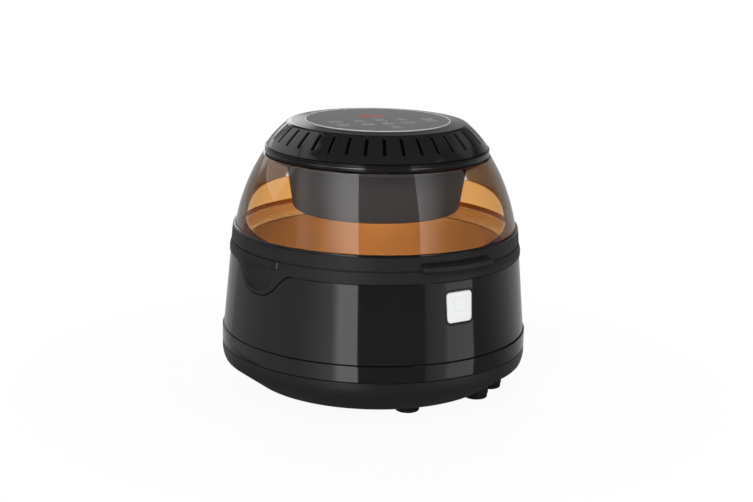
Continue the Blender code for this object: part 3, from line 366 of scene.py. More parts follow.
glossBlack = plasticLook("glossBlack", (0.0075, 0.0075, 0.008), (0.05, 0.09), specular=0.375)
capBlack = plasticLook("capBlack", (0.0135, 0.0135, 0.014), (0.06, 0.1), specular=0.375)
satinBlack = plasticLook("satinBlack", (0.0185, 0.0172, 0.0172), (0.42, 0.52), specular=0.12,
                         grain=0.000012, grainScale=1500.0)
baseBlack = plasticLook("baseBlack", (0.0150, 0.0146, 0.0150), (0.34, 0.46), specular=0.2,
                        grain=0.000012, grainScale=1500.0)
rubberBlack = plasticLook("rubberBlack", (0.012, 0.012, 0.012), (0.6, 0.75), specular=0.2,
                          grain=0.00002, grainScale=1200.0)
silverWhite = plasticLook("silverWhite", (0.80, 0.81, 0.82), (0.2, 0.3), specular=0.4, shade=0.01)
housingGrey = plasticLook("housingGrey", (0.072, 0.071, 0.077), (0.42, 0.52), specular=0.08,
                          grain=0.000002, grainScale=1800.0)
potSteel = plasticLook("potSteel", (0.78, 0.63, 0.46), (0.34, 0.46), metallic=1.0, shade=0.05,
                       grain=0.0000015, grainScale=(12.0, 12.0, 700.0), pattern="brushed")
brightSteel = plasticLook("brightSteel", (0.62, 0.62, 0.63), (0.22, 0.34), metallic=1.0,
                          grain=0.000004, grainScale=(900.0, 40.0, 900.0), pattern="brushed")
darkSteel = plasticLook("darkSteel", (0.09, 0.09, 0.095), (0.34, 0.48), metallic=0.85,
                        grain=0.000006, grainScale=1400.0)
glowSteel = plasticLook("glowSteel", (0.16, 0.145, 0.13), (0.35, 0.55), metallic=0.7,
                        grain=0.00001, grainScale=900.0, smudge=60.0, shade=0.3)
# warm amber seal colour: partly the seal's own colour and partly painted glow of the heater's warm
# light
sealAmberGlow = plasticLook("sealAmberGlow", (0.70, 0.43, 0.18), (0.5, 0.62), specular=0.35,
                       grain=0.00001, grainScale=900.0)
# painted highlight: light metal for the strips on the grip plates' front edges
highlightGrey = plasticLook("highlightGrey", (0.42, 0.42, 0.43), (0.18, 0.26), metallic=1.0, shade=0.05)
# painted highlight: pale colour of the ring round the touch panel
highlightPale = plasticLook("highlightPale", (0.70, 0.70, 0.71), (0.2, 0.3), specular=0.4, shade=0.03)
# painted highlight: light metal for the beads on the clamp's lip
beadHighlightGrey = plasticLook("beadHighlightGrey", (0.40, 0.40, 0.41), (0.1, 0.16), metallic=1.0, shade=0.05)
clampBlack = plasticLook("clampBlack", (0.0085, 0.0085, 0.009), (0.07, 0.11), specular=0.14)
# painted shade: matte black for the sheet behind the cap's slots
shadeSheetBlack = plasticLook("shadeSheetBlack", (0.003, 0.003, 0.003), (0.8, 0.9), specular=0.0)
panelGloss = plasticLook("panelGloss", (0.022, 0.0225, 0.024), (0.05, 0.09), specular=0.4)
boardGreen = plasticLook("boardGreen", (0.015, 0.09, 0.045), (0.4, 0.55), grain=0.00002,
                         grainScale=260.0, shade=0.35, smudge=120.0)
displayBack = plasticLook("displayBack", (0.05, 0.006, 0.006), (0.2, 0.3))


def radiusZone():
    # 1 nearer the upright axis than a limit and 0 beyond it
    group, source, sink = nodeGroup(
        "radiusZone",
        [("Vector", "NodeSocketVector", None), ("Limit", "NodeSocketFloat", 0.15)],
        [("Mask", "NodeSocketFloat")],
    )
    flatten = addNode(group, "VectorMath", {0: source.outputs["Vector"], 1: (1, 1, 0)},
                      operation="MULTIPLY")
    reach = addNode(group, "VectorMath", {0: flatten.outputs["Vector"]}, operation="LENGTH")
    inside = valueNode(group, "LESS_THAN", reach.outputs["Value"], source.outputs["Limit"])
    group.links.new(inside, sink.inputs["Mask"])
    return group


effects["zone"] = radiusZone()
# painted glow: the warm, part metal colour given to the lid ring's bore for the heater's warm light
# there
ringGlow = {"limit": 0.1606, "colour": (0.82, 0.50, 0.21), "metal": 0.3}


def innerGlowLook(name, base):
    # a black finish with a painted warm glow nearer the axis than the limit: the heater's warm light on
    # the bore is painted in as a warm, part metal colour
    look = base.copy()
    look.name = name
    tree = look.node_tree
    shader = tree.nodes["Principled BSDF"]
    place = addNode(tree, "TexCoord", {}).outputs["Object"]
    mask = effect(tree, "zone", {"Limit": ringGlow["limit"], "Vector": place}).outputs["Mask"]
    colour = addNode(tree, "Mix", {
        "Factor": mask,
        "A": shader.inputs["Base Color"].links[0].from_socket,
        "B": (*ringGlow["colour"], 1),
    }, data_type="RGBA")
    tree.links.new(colour.outputs["Result"], shader.inputs["Base Color"])
    tree.links.new(valueNode(tree, "MULTIPLY", mask, ringGlow["metal"]), shader.inputs["Metallic"])
    return look


# the ring's and its trim's finishes, with the painted warm glow nearer the axis
ringBlack = innerGlowLook("ringBlack", satinBlack)
trimBlack = innerGlowLook("trimBlack", glossBlack)
print("finishes made")


def glassLook(name, clear, edge, rim, paintedGlow, boundary, blur, oval, farFacing, rimFacing,
              lampTint, refraction):
    # tinted glass with a painted glow on the wall beyond the axis, below the boundary height: the
    # heater's warm light on that wall, up to the housing's shadow line, is painted in as an amber tint.
    # The wall before the axis is clear inside an oval and brown round it: the brown starts where
    # the cosine of the view falls below a value that grows above and below two heights. The
    # tint is squared where a ray enters the wall, since glass shows its root at each crossing.
    # Lamps reach what is inside through a neutral clear share.
    look, tree, shader = newLook(name)
    place = addNode(tree, "TexCoord", {}).outputs["Object"]
    height = addNode(tree, "SeparateXYZ", {"Vector": place}).outputs["Z"]
    facing = addNode(tree, "LayerWeight", {"Blend": 0.5}).outputs["Facing"]

    def ramp(value, low, high):
        return addNode(tree, "MapRange", {"Value": value, "From Min": low, "From Max": high},
                       interpolation_type="SMOOTHSTEP").outputs["Result"]

    def blend(factor, first, second, kind="MIX"):
        sides = [(*side, 1) if isinstance(side, tuple) else side for side in (first, second)]
        return addNode(tree, "Mix", {"Factor": factor, "A": sides[0], "B": sides[1]},
                       data_type="RGBA", blend_type=kind).outputs["Result"]

    def value(kind, first, second):
        return valueNode(tree, kind, first, second)

    def grown(first, second, span, amount, most=None):
        # how far the brown has grown at a height past the oval's limit, by the square of the way
        past = value("MAXIMUM", value("DIVIDE", value("SUBTRACT", first, second), span), 0.0)
        if most:
            past = value("MINIMUM", past, most)
        return value("MULTIPLY", value("POWER", past, 2.0), amount)

    high = ramp(height, boundary - blur, boundary + blur)
    # painted glow: amber on the far wall below the housing's shadow line, clear above it and at grazing
    # views
    farWall = blend(value("MAXIMUM", high, ramp(facing, *farFacing)), paintedGlow, clear)
    top, topSpan, topAmount = oval["above"]
    foot, footSpan, footAmount = oval["below"]
    brown = value("ADD", grown(height, top, topSpan, topAmount, oval["most"]),
                  grown(foot, height, footSpan, footAmount))
    past = value("SUBTRACT", facing, value("SUBTRACT", 1 - oval["cosine"], brown))
    darkEdge = blend(ramp(facing, *rimFacing), edge, rim)
    nearWall = blend(ramp(past, -oval["blur"], oval["blur"]), clear, darkEdge)
    skin = addNode(tree, "NewGeometry", {})
    flat = addNode(tree, "VectorMath", {0: place, 1: (1, 1, 0)}, operation="MULTIPLY")
    toward = addNode(tree, "VectorMath", {0: skin.outputs["True Normal"], 1: flat.outputs["Vector"]},
                     operation="DOT_PRODUCT")
    wall = blend(value("LESS_THAN", toward.outputs["Value"], 0.0), nearWall, farWall)
    squared = blend(1.0, wall, wall, "MULTIPLY")
    tint = blend(skin.outputs["Backfacing"], squared, (1.0, 1.0, 1.0))
    tree.links.new(tint, shader.inputs["Base Color"])
    shader.inputs["Roughness"].default_value = 0.0
    shader.inputs["IOR"].default_value = refraction
    shader.inputs["Transmission Weight"].default_value = 1.0
    path = addNode(tree, "LightPath", {}).outputs
    through = addNode(tree, "BsdfTransparent", {"Color": (*lampTint, 1)})
    showMixed(tree, value("MAXIMUM", path["Is Shadow Ray"], path["Is Diffuse Ray"]),
              shader.outputs["BSDF"], through.outputs["BSDF"])
    return look


domeTint = {
    "clear": (0.97, 0.95, 0.93),
    "edge": (0.19, 0.11, 0.06),
    "rim": (0.05, 0.035, 0.025),
    # painted glow: the amber tint for the heater's warm light on the far wall, and the height of the
    # housing's shadow line where it stops
    "paintedGlow": (0.82, 0.42, 0.13),
    "boundary": 0.221,
    "blur": 0.0012,
    "oval": {"cosine": 0.36, "above": (0.220, 0.020, 0.08), "most": 1.9,
             "below": (0.206, 0.017, 0.30), "blur": 0.015},
    "farFacing": (0.66, 0.72),
    "rimFacing": (0.86, 0.97),
    "lampTint": (0.90, 0.89, 0.87),
    "refraction": 1.45,
}
domeGlass = glassLook("domeGlass", **domeTint)


# Base pan with its foot bosses, and the rubber feet

basePan = {"floor": 0.011, "floorRadius": 0.140, "bevel": (0.1726, 0.0345), "wall": 0.0025,
           "bevelTop": 0.0465, "bulge": 0.030, "topEase": 0.0007, "innerBend": 0.0375}
footPad = {
    "radius": 0.0134,
    "bossRadius": 0.0142,
    "padTop": 0.0057,
    "tread": (0.0040, 0.0035, 0.0004),     # insets of the foot's raised tread, and its height
    "padEase": 0.0016,
    "bossTop": 0.0200,
    "sunk": 0.0012,
    "rise": 0.721,
    "at": {
        "foot_front": (-13.0, 0.114),
        "foot_front_right": (31.0, 0.131),
        "foot_right": (48.5, 0.137),
        "foot_rear_right": (150.0, 0.122),
        "foot_rear_left": (-150.0, 0.122),
        "foot_left": (-125.2, 0.137),
    },
}


def standing(grid, distance, azimuth):
    # a grid turned about Z, moved out to a place on the ground plan
    points, wrapRows, wrapColumns = grid
    return points + onCircle(distance, np.radians(azimuth), 0.0), wrapRows, wrapColumns


def bossGrid(distance, azimuth):
    # a round boss whose top follows the pan's underside, just inside the pan's wall
    low, radius = footPad["padTop"] + 2 * gap, footPad["bossRadius"]
    points, wrapRows, wrapColumns = standing(turned([
        (0, low, 0),
        (radius, low, ease["soft"]),
        (radius, footPad["bossTop"], 0),
        *[(radius * share, footPad["bossTop"], 0) for share in (0.8, 0.6, 0.4, 0.2, 0)],
    ], turnSteps["small"]), distance, azimuth)
    out = np.hypot(points[..., 0], points[..., 1]) - basePan["floorRadius"]
    top = basePan["floor"] + footPad["sunk"] + np.maximum(out, 0) * footPad["rise"]
    share = (points[..., 2] - low) / (footPad["bossTop"] - low)
    points[..., 2] = low + share * (top - low)
    return points, wrapRows, wrapColumns


panWall = basePan["wall"]
panGrids = [turned([
    (0, basePan["floor"], 0),
    (basePan["floorRadius"], basePan["floor"], ease["deep"]),
    *arcBetween(basePan["bevel"], (wide, basePan["bevelTop"]), basePan["bulge"], 6),
    (wide, oven["panTop"] - gap, basePan["topEase"]),
    (wide - panWall, oven["panTop"] - gap, ease["fine"]),
    (wide - panWall, basePan["innerBend"], ease["wide"]),
    (basePan["floorRadius"] - ease["full"], basePan["floor"] + panWall, ease["wide"]),
    (0, basePan["floor"] + panWall, 0),
], turnSteps["outer"])]
for azimuth, distance in footPad["at"].values():
    panGrids.append(bossGrid(distance, azimuth))
piece("base_pan_skirt", panGrids, baseBlack, "body", ["base_pan"])
padRadius, (treadFoot, treadTop, treadHeight) = footPad["radius"], footPad["tread"]
pad = turned([
    (0, 0, 0),
    (padRadius - treadFoot, 0, ease["crisp"]),
    (padRadius - treadTop, treadHeight, ease["crisp"]),
    (padRadius, treadHeight, footPad["padEase"]),
    (padRadius, footPad["padTop"], ease["soft"]),
    (0, footPad["padTop"], 0),
], turnSteps["small"])
for name, (azimuth, distance) in footPad["at"].items():
    piece(name + "_pad", [standing(pad, distance, azimuth)], rubberBlack, "body", [name])
print("base pan and feet made")

# Lower band and body shell

band = {"wall": 0.0025, "shelf": 0.006, "edge": 0.0009}
bandLow, bandHigh, bandWall = oven["panTop"] + gap, oven["bandTop"] - gap, band["wall"]
piece("lower_band_ring", [turned([
    (wide, bandLow, band["edge"]),
    (wide, bandHigh, band["edge"]),
    (wide - band["shelf"], bandHigh, ease["crisp"]),
    (wide - band["shelf"], bandHigh - bandWall, ease["crisp"]),
    (wide - bandWall, bandHigh - bandWall, ease["crisp"]),
    (wide - bandWall, bandLow, ease["crisp"]),
], turnSteps["outer"])], glossBlack, "body", ["lower_band"])

grip = {
    "azimuth": 83.2,       # each side of the front
    "drop": 0.0273,        # how far the apron hangs below the collar
    "halfWidth": 0.049,
    "fullness": 1.5,
    "fineSpan": 18.0,      # degrees of finer steps each side of a grip's middle
    "gap": 0.0010,         # dark line between apron and shell
    "proud": 0.0010,
    "scoopHalfWidth": 0.0315,
    "scoopDepth": 0.0078,
    "ledge": 0.1633,       # height where the finger scoop stops under its plate
    "scoopDrop": 0.0288,
    "scoopFade": 2.4,
    "plateHalfAngle": 10.9,
    "plateDepth": 0.0022,
    "plateProud": 0.0003,
    "edgeHalfAngle": 0.14,     # the painted highlight at the front end of each plate, as a light metal strip
    "plateRound": 0.0007,
    "plateBend": 0.003,
    "seatRoom": (0.17, 0.0002),    # degrees beside the plate's seat, and room behind it
    "edgeProud": 0.0001,
    "edgeDepth": 0.0015,
}


def bell(azimuth):
    # 1 at the middle of a grip and 0 beside it, along a raised cosine that is full at its middle
    off = np.abs(np.abs(np.mod(np.degrees(azimuth) + 180, 360) - 180) - grip["azimuth"])
    sideways = oven["shellHead"] * np.sin(np.radians(np.minimum(off, 89)))
    share = np.clip(sideways / grip["halfWidth"], 0, 1)
    turn = np.pi * share ** grip["fullness"]
    rate = np.pi * grip["fullness"] * share ** (grip["fullness"] - 1)
    slope = grip["drop"] / grip["halfWidth"] * rate * np.sin(turn) / 2
    return (1 + np.cos(turn)) / 2, np.hypot(slope, 1)


def seamAzimuths():
    # whole degrees, with finer steps along both grips
    fine = np.arange(-grip["fineSpan"], grip["fineSpan"], 0.3)
    grips = [side * grip["azimuth"] + fine for side in (-1, 1)]
    return np.radians(np.unique(np.round(np.concatenate([np.arange(-180, 180), *grips]), 1)))


def roundedBox(widthTop, widthLow, tall, corner, middle, grow, steps=10):
    # a box with round corners, wider at its top, as (sideways, height) corners with fillets
    rows = []
    for side, level in ((1, -1), (1, 1), (-1, 1), (-1, -1)):
        half = (widthTop if level > 0 else widthLow) / 2 + grow
        rows.append((side * half, middle + level * (tall / 2 + grow), corner + grow))
    return outline(rows, steps)


button = {
    "widthTop": 0.0325,
    "widthLow": 0.0310,
    "tall": 0.0330,
    "corner": 0.0040,
    "middle": 0.1295,
    "proud": 0.0008,
    "depth": 0.0076,
    "edge": 0.0011,
    "inset": 0.016,            # half the button's width, over which the edge is measured
    "heel": (1.4, 0.985),      # depth in edges where the side starts, and the share kept at the back
    "bezelIn": 0.0011,
    "bezelOut": 0.0025,
    "bezelProud": 0.0002,
    "bezelDepth": 0.0088,
    "dishHeight": 0.1330,
    "dishRadius": 0.0100,
    "dishDepth": 0.00015,
    "lineWidth": 0.0007,
    "lineDepth": 0.0004,
}
buttonBox = [button[key] for key in ("widthTop", "widthLow", "tall", "corner", "middle")]


def prism(rim, near, far):
    # an upright outline of (sideways, height) points carried from one distance off the axis to another
    middle = rim.mean(0)
    rows = [(middle + 0 * rim, near), (rim, near), (rim, far), (middle + 0 * rim, far)]
    grid = np.stack([np.column_stack([r[:, 0], np.full(len(r), -y), r[:, 1]]) for r, y in rows], 1)
    return grid, True, False


shellLow, shellHigh = oven["bandTop"] + gap, oven["shellTop"] - gap
shellWall, shellTopEase = 0.003, 0.0007
shellRim = outline([
    (shellRadius(shellHigh), shellHigh, shellTopEase),
    (shellRadius(shellLow), shellLow, ease["full"]),
    (shellRadius(shellLow) - shellWall, shellLow, ease["crisp"]),
    (shellRadius(shellHigh) - shellWall, shellHigh, ease["crisp"]),
])
shellAzimuth = seamAzimuths()[:, None]
shellBell, shellSlope = bell(shellAzimuth)
dropped = np.where(shellBell > 0, grip["drop"] * shellBell + (grip["gap"] - 2 * gap) * shellSlope, 0)
lift = np.clip((shellRim[None, :, 1] - shellLow) / (shellHigh - shellLow), 0, 1)
shellZ = shellRim[None, :, 1] - dropped * lift
shellR = shellRim[None, :, 0] + shellRadius(shellZ) - shellRadius(shellRim[None, :, 1])
bodyShell = piece("body_shell_wall", [(onCircle(shellR, shellAzimuth, shellZ), True, True)],
                  glossBlack, "body", ["body_shell"])
windowRim = roundedBox(*buttonBox, grow=button["bezelOut"] + 2 * gap)
cutFrom, cutTo = 0.150, 0.180      # distances off the axis between which the openings are cut
carve(bodyShell, [prism(windowRim, cutFrom, cutTo)])
cord = {"height": 0.092, "radius": 0.0085}
carve(bodyShell, [bar(cord["radius"] + 2 * gap, (0, cutFrom, cord["height"]), cutTo - cutFrom, "Y")])
print("band and shell made")

# Release button in its bezel


def bezelGrid():
    # a rounded cross-section carried round the box: outer side, front edge, inner side, back
    section = outline([
        (button["bezelIn"], -button["bezelDepth"], ease["thin"]),
        (button["bezelIn"], button["bezelProud"], ease["small"]),
        (button["bezelOut"], button["bezelProud"], ease["small"]),
        (button["bezelOut"], -button["bezelDepth"], ease["thin"]),
    ], 3, 0.0001)
    rims = np.stack([roundedBox(*buttonBox, grow=grow) for grow in section[:, 0]], 1)
    skin = shellRadius(rims[..., 1])
    away = np.sqrt(np.maximum(skin**2 - rims[..., 0] ** 2, 0)) + section[None, :, 1]
    return np.stack([rims[..., 0], -away, rims[..., 1]], -1), True, True


piece("button_frame", [bezelGrid()], glossBlack, "body", ["button_bezel"])


def buttonGrid():
    # rings that grow from the dish's middle to its rim, then to the button's outline, round
    # over its edge and run back to the rear face
    rim = roundedBox(*buttonBox, grow=0.0)
    heart = np.array([0.0, button["dishHeight"]])
    turn = np.arctan2(rim[:, 1] - heart[1], rim[:, 0] - heart[0])
    circleRim = heart + button["dishRadius"] * np.stack([np.cos(turn), np.sin(turn)], -1)
    rings, depths = [], []
    line = button["lineWidth"] / button["dishRadius"]
    shares = [0, 0.2, 0.4, 0.6, 0.8, *(1 - line * np.array([1.1, 1, 0.75, 0.5, 0.25, 0]))]
    for share in shares:
        groove = max(0, 1 - ((share - 1 + line / 2) / (line / 2)) ** 2) * button["lineDepth"]
        rings.append(heart + (circleRim - heart) * share)
        dish = button["dishDepth"] * (1 - min(share, 1 - line) ** 2)
        depths.append(np.full(len(rim), -dish - groove))
    inner = rim - (rim - rim.mean(0)) * (button["edge"] / button["inset"])
    for share in (0.03, 0.08, 0.2, 0.35, 0.5, 0.65, 0.8, 0.92, 0.98, 1.0):
        rings.append(circleRim + (inner - circleRim) * share)
        depths.append(np.full(len(rim), 0.0))
    for angle in np.radians((22.5, 45, 67.5, 90)):
        rings.append(inner + (rim - inner) * math.sin(angle))
        depths.append(np.full(len(rim), -button["edge"] * (1 - math.cos(angle))))
    start, kept = button["heel"]
    for depth, share in ((button["edge"] * start, 1), (button["depth"] - ease["thin"], 1),
                         (button["depth"], kept), (button["depth"], 0)):
        rings.append(rim.mean(0) + (rim - rim.mean(0)) * share)
        depths.append(np.full(len(rim), -depth))
    flat, depth = np.stack(rings, 1), np.stack(depths, 1)
    front = shellRadius(flat[..., 1]) + button["proud"]
    bowed = np.sqrt(front**2 - flat[..., 0] ** 2)
    return np.stack([flat[..., 0], -(bowed + depth), flat[..., 1]], -1), True, False


piece("release_button_cap", [buttonGrid()], silverWhite, "button",
      ["release_button"], sharpest=40)
print("button made")

# Collar with its two side grips

collar = {"top": 0.1647, "bore": 0.1533, "bend": 0.16365, "step": 0.0012, "groove": 0.0009,
          "overhang": 0.0001, "footEase": 0.0007, "hangTop": 0.16265, "skirt": 0.160}
collarOuter = oven["shellHead"] + grip["proud"]
collarLow, collarHigh = oven["shellTop"] + gap, oven["lidSeam"] - gap
collarRim = outline([
    (collar["top"] - collar["step"], collarHigh, ease["thin"]),
    (collar["top"] - collar["step"], collarHigh - collar["groove"], ease["thin"]),
    (collar["top"] - collar["overhang"], collarHigh - collar["groove"], ease["fine"]),
    (collarOuter, collar["bend"], ease["deep"]),
    (collarOuter, collarLow, collar["footEase"]),
    (collar["bore"], collarLow, ease["crisp"]),
    (collar["bore"], collarHigh, ease["crisp"]),
])
collarBell, _ = bell(shellAzimuth)
rimOut, rimHeight = collarRim[None, :, 0], collarRim[None, :, 1]
hang = np.clip((collar["hangTop"] - rimHeight) / (collar["hangTop"] - collarLow), 0, 1)
collarZ = rimHeight - hang * grip["drop"] * collarBell
belowShell = np.minimum(collarZ, oven["shellTop"])
outward = shellRadius(belowShell) - oven["shellHead"]
collarR = rimOut + np.where(rimOut > collar["skirt"], outward, 0)
collarRing = piece("collar_ring", [(onCircle(collarR, shellAzimuth, collarZ), True, True)],
                   satinBlack, "body", ["collar"])


def scoopGrid(side):
    # a finger hollow: an oval under the ledge that runs out gently toward the front, closing
    # along a quarter ellipse below
    turn = fullTurn(96)[:, None]
    share = np.linspace(0, 1, 25)[None, :] * np.pi / 2
    size = np.concatenate([[[0.0]], np.cos(share)], 1)
    drop = np.concatenate([[[0.0]], grip["scoopDrop"] * np.sin(share)], 1)
    across = np.sign(np.cos(turn)) * np.abs(np.cos(turn)) ** 0.8 * grip["scoopHalfWidth"] * size
    power = 0.8 + grip["scoopFade"] * np.maximum(-side * np.cos(turn), 0)
    inward = np.sign(np.sin(turn)) * np.abs(np.sin(turn)) ** power * grip["scoopDepth"] * size
    reach = collarOuter + 0.0005 - inward
    angle = np.radians(side * grip["azimuth"])
    x = reach * np.sin(angle) + across * np.cos(angle)
    y = -reach * np.cos(angle) + across * np.sin(angle)
    x, y, z = np.broadcast_arrays(x, y, grip["ledge"] - drop)
    return np.stack([x, y, z], -1), True, False


def bentBar(azimuth, halfAngle, corners, endRound, steps=40):
    # a section of (radius, height, fillet) corners bent round the axis, its outer side rounded
    # off at both ends along a quarter circle
    section = outline(corners, 3, 0.0002)
    inner, outer = section[:, 0].min(), section[:, 0].max()
    endAngle = math.degrees(endRound / outer)
    body = np.linspace(-halfAngle + endAngle, halfAngle - endAngle, steps)
    turn = np.radians([22.5, 45, 67.5, 90])
    tip = halfAngle - endAngle + endAngle * np.sin(turn)
    degrees = np.concatenate([-tip[::-1], body, tip])
    inset = np.concatenate([(1 - np.cos(turn))[::-1], 0 * body, 1 - np.cos(turn)]) * endRound
    radius = inner + (section[None, :, 0] - inner) * (1 - inset[:, None] / (outer - inner))
    grid = onCircle(radius, np.radians(azimuth + degrees)[:, None], section[None, :, 1])
    ends = [np.repeat(grid[row].mean(0)[None, None], len(section), 1) for row in (0, -1)]
    return np.concatenate([ends[0], grid, ends[1]]), False, True


plateLow, plateHigh = grip["ledge"] + 0.0003, collarHigh - collar["groove"]
plateTop = collar["top"] + grip["plateProud"]
plateFoot = collarOuter + grip["plateProud"]
seatBeside, seatBehind = grip["seatRoom"]
seat = grip["plateDepth"] + seatBehind
seatLow, seatHigh = grip["ledge"] - seatBehind, oven["lidSeam"] + 0.001
plateGrids, edgeGrids = [], []
for side in (-1, 1):
    carve(collarRing, [scoopGrid(side)])
    carve(collarRing, [bentBar(side * grip["azimuth"], grip["plateHalfAngle"] + seatBeside, [
        (wide, seatLow, 0),
        (wide, seatHigh, 0),
        (collar["top"] - grip["plateDepth"], seatHigh, 0),
        (collarOuter - grip["plateDepth"], seatLow, 0),
    ], 0.0001)])
    plateGrids.append(bentBar(side * grip["azimuth"], grip["plateHalfAngle"], [
        (plateFoot, plateLow, grip["plateRound"]),
        (plateFoot - grip["edgeProud"], collar["bend"] + ease["soft"], grip["plateBend"]),
        (plateTop, plateHigh, grip["plateRound"]),
        (plateTop - seat, plateHigh, ease["thin"]),
        (plateFoot - seat, plateLow, ease["thin"]),
    ], grip["plateRound"]))
    # painted highlight: a light metal strip on each plate's front edge stands for the highlight on that
    # rounded edge
    edgeAzimuth = side * (grip["azimuth"] - grip["plateHalfAngle"] + grip["edgeHalfAngle"])
    edgeGrids.append(bentBar(edgeAzimuth, grip["edgeHalfAngle"], [
        (plateFoot + grip["edgeProud"], plateLow + ease["fine"], grip["plateRound"]),
        (plateFoot, collar["bend"] + ease["soft"], grip["plateBend"]),
        (plateTop + grip["edgeProud"], plateHigh - ease["crisp"], grip["plateRound"]),
        (plateTop - grip["edgeDepth"], plateHigh - ease["crisp"], ease["thin"]),
        (plateFoot - grip["edgeDepth"], plateLow + ease["fine"], ease["thin"]),
    ], ease["fine"], steps=6))
piece("grip_plate_highlight_edges", edgeGrids, highlightGrey, "body", sharpest=40)
piece("grip_plates", plateGrids, satinBlack, "body", sharpest=40)
latchSlot = {"halfWidth": 0.0065, "front": -0.1625, "back": -0.1490, "low": 0.150, "high": 0.180}
carve(collarRing, [box((-latchSlot["halfWidth"], latchSlot["front"], latchSlot["low"]),
                       (latchSlot["halfWidth"], latchSlot["back"], latchSlot["high"]))])
hinge = {"y": 0.166, "z": 0.172, "knuckle": 0.0055, "room": 0.0062, "pocket": 0.0302,
         "halfWidth": 0.0147, "throat": 0.0054, "bore": 0.00235}
carve(collarRing, [box((-hinge["pocket"], hinge["y"] - hinge["room"], hinge["z"] - hinge["room"]),
                       (hinge["pocket"], cutTo, latchSlot["high"]))])
print("collar made")

# Pot and gasket

pot = {"radius": 0.1470, "rim": 0.1515, "wall": 0.0015, "floor": 0.0153, "floorRadius": 0.126,
       "bevelTop": 0.0333, "rimLow": 0.1678, "rimHigh": 0.1698, "bend": 0.010, "rimRound": 0.0009,
       "mouthRound": 0.0012}
potIn, potDeep = pot["radius"] - pot["wall"], pot["floor"] + pot["wall"]
piece("pot_bowl", [turned([
    (0, pot["floor"], 0),
    (pot["floorRadius"], pot["floor"], pot["bend"]),
    (pot["radius"], pot["bevelTop"], pot["bend"]),
    (pot["radius"], pot["rimLow"], ease["fine"]),
    (pot["rim"], pot["rimLow"], pot["rimRound"]),
    (pot["rim"], pot["rimHigh"], pot["rimRound"]),
    (potIn, pot["rimHigh"], pot["mouthRound"]),
    (potIn, pot["bevelTop"] + ease["full"], pot["bend"]),
    (pot["floorRadius"] - ease["full"], potDeep, pot["bend"]),
    (0, potDeep, 0),
], turnSteps["round"])], potSteel, "body", ["cooking_pot"])

gasket = {"outer": 0.1527, "seat": 0.1515, "inner": 0.1468, "low": 0.1701, "high": 0.1769,
          "bend": 0.17245, "lip": 0.0014, "slope": 0.0028, "wall": 0.0019}
gasketIn = gasket["outer"] - gasket["wall"]
piece("gasket_ring", [turned([
    (gasket["outer"], gasket["high"], ease["small"]),
    (gasket["outer"], gasket["bend"], ease["crisp"]),
    (gasket["seat"], gasket["low"], ease["small"]),
    (gasket["inner"], gasket["low"], ease["small"]),
    (gasket["inner"], gasket["low"] + gasket["lip"], ease["small"]),
    (gasketIn, gasket["low"] + gasket["slope"], ease["full"]),
    (gasketIn, gasket["high"], ease["small"]),
], turnSteps["round"])], sealAmberGlow, "lid", ["lid_gasket"])
print("pot and gasket made")

# Lid ring with its lift tab

lidRing = {"foot": 0.1645, "shoulder": 0.1632, "lip": 0.1603, "groove": 0.1565, "grooveFoot": 0.1780,
           "innerTop": 0.1843, "bore": 0.1530, "trimLow": 0.1868, "wallHeight": 0.0167,
           "trimGap": 0.00015, "trimRound": 0.0014}
tab = {"reach": 0.1745, "thick": 0.0053, "straight": 12.6, "ends": 15.8, "footEase": 0.0007,
       "hollowMiddle": 0.1667, "hollowReach": 0.0066, "hollowDrop": 0.0040, "hollowTop": 0.17995,
       "wallCount": 44}
ringLow = oven["lidSeam"] + gap


def resampled(path, count):
    # points spread evenly along a path
    path = np.array(path)
    steps = np.concatenate([[0], np.cumsum(np.hypot(*np.diff(path, axis=0).T))])
    spots = np.linspace(0, steps[-1], count)
    return np.stack([np.interp(spots, steps, path[:, k]) for k in (0, 1)], -1)


def footCorner(radius, inset):
    # two points that ease the ring's lower outer corner
    return [[radius - inset, ringLow], [radius - ease["thin"], ringLow + ease["thin"]]]


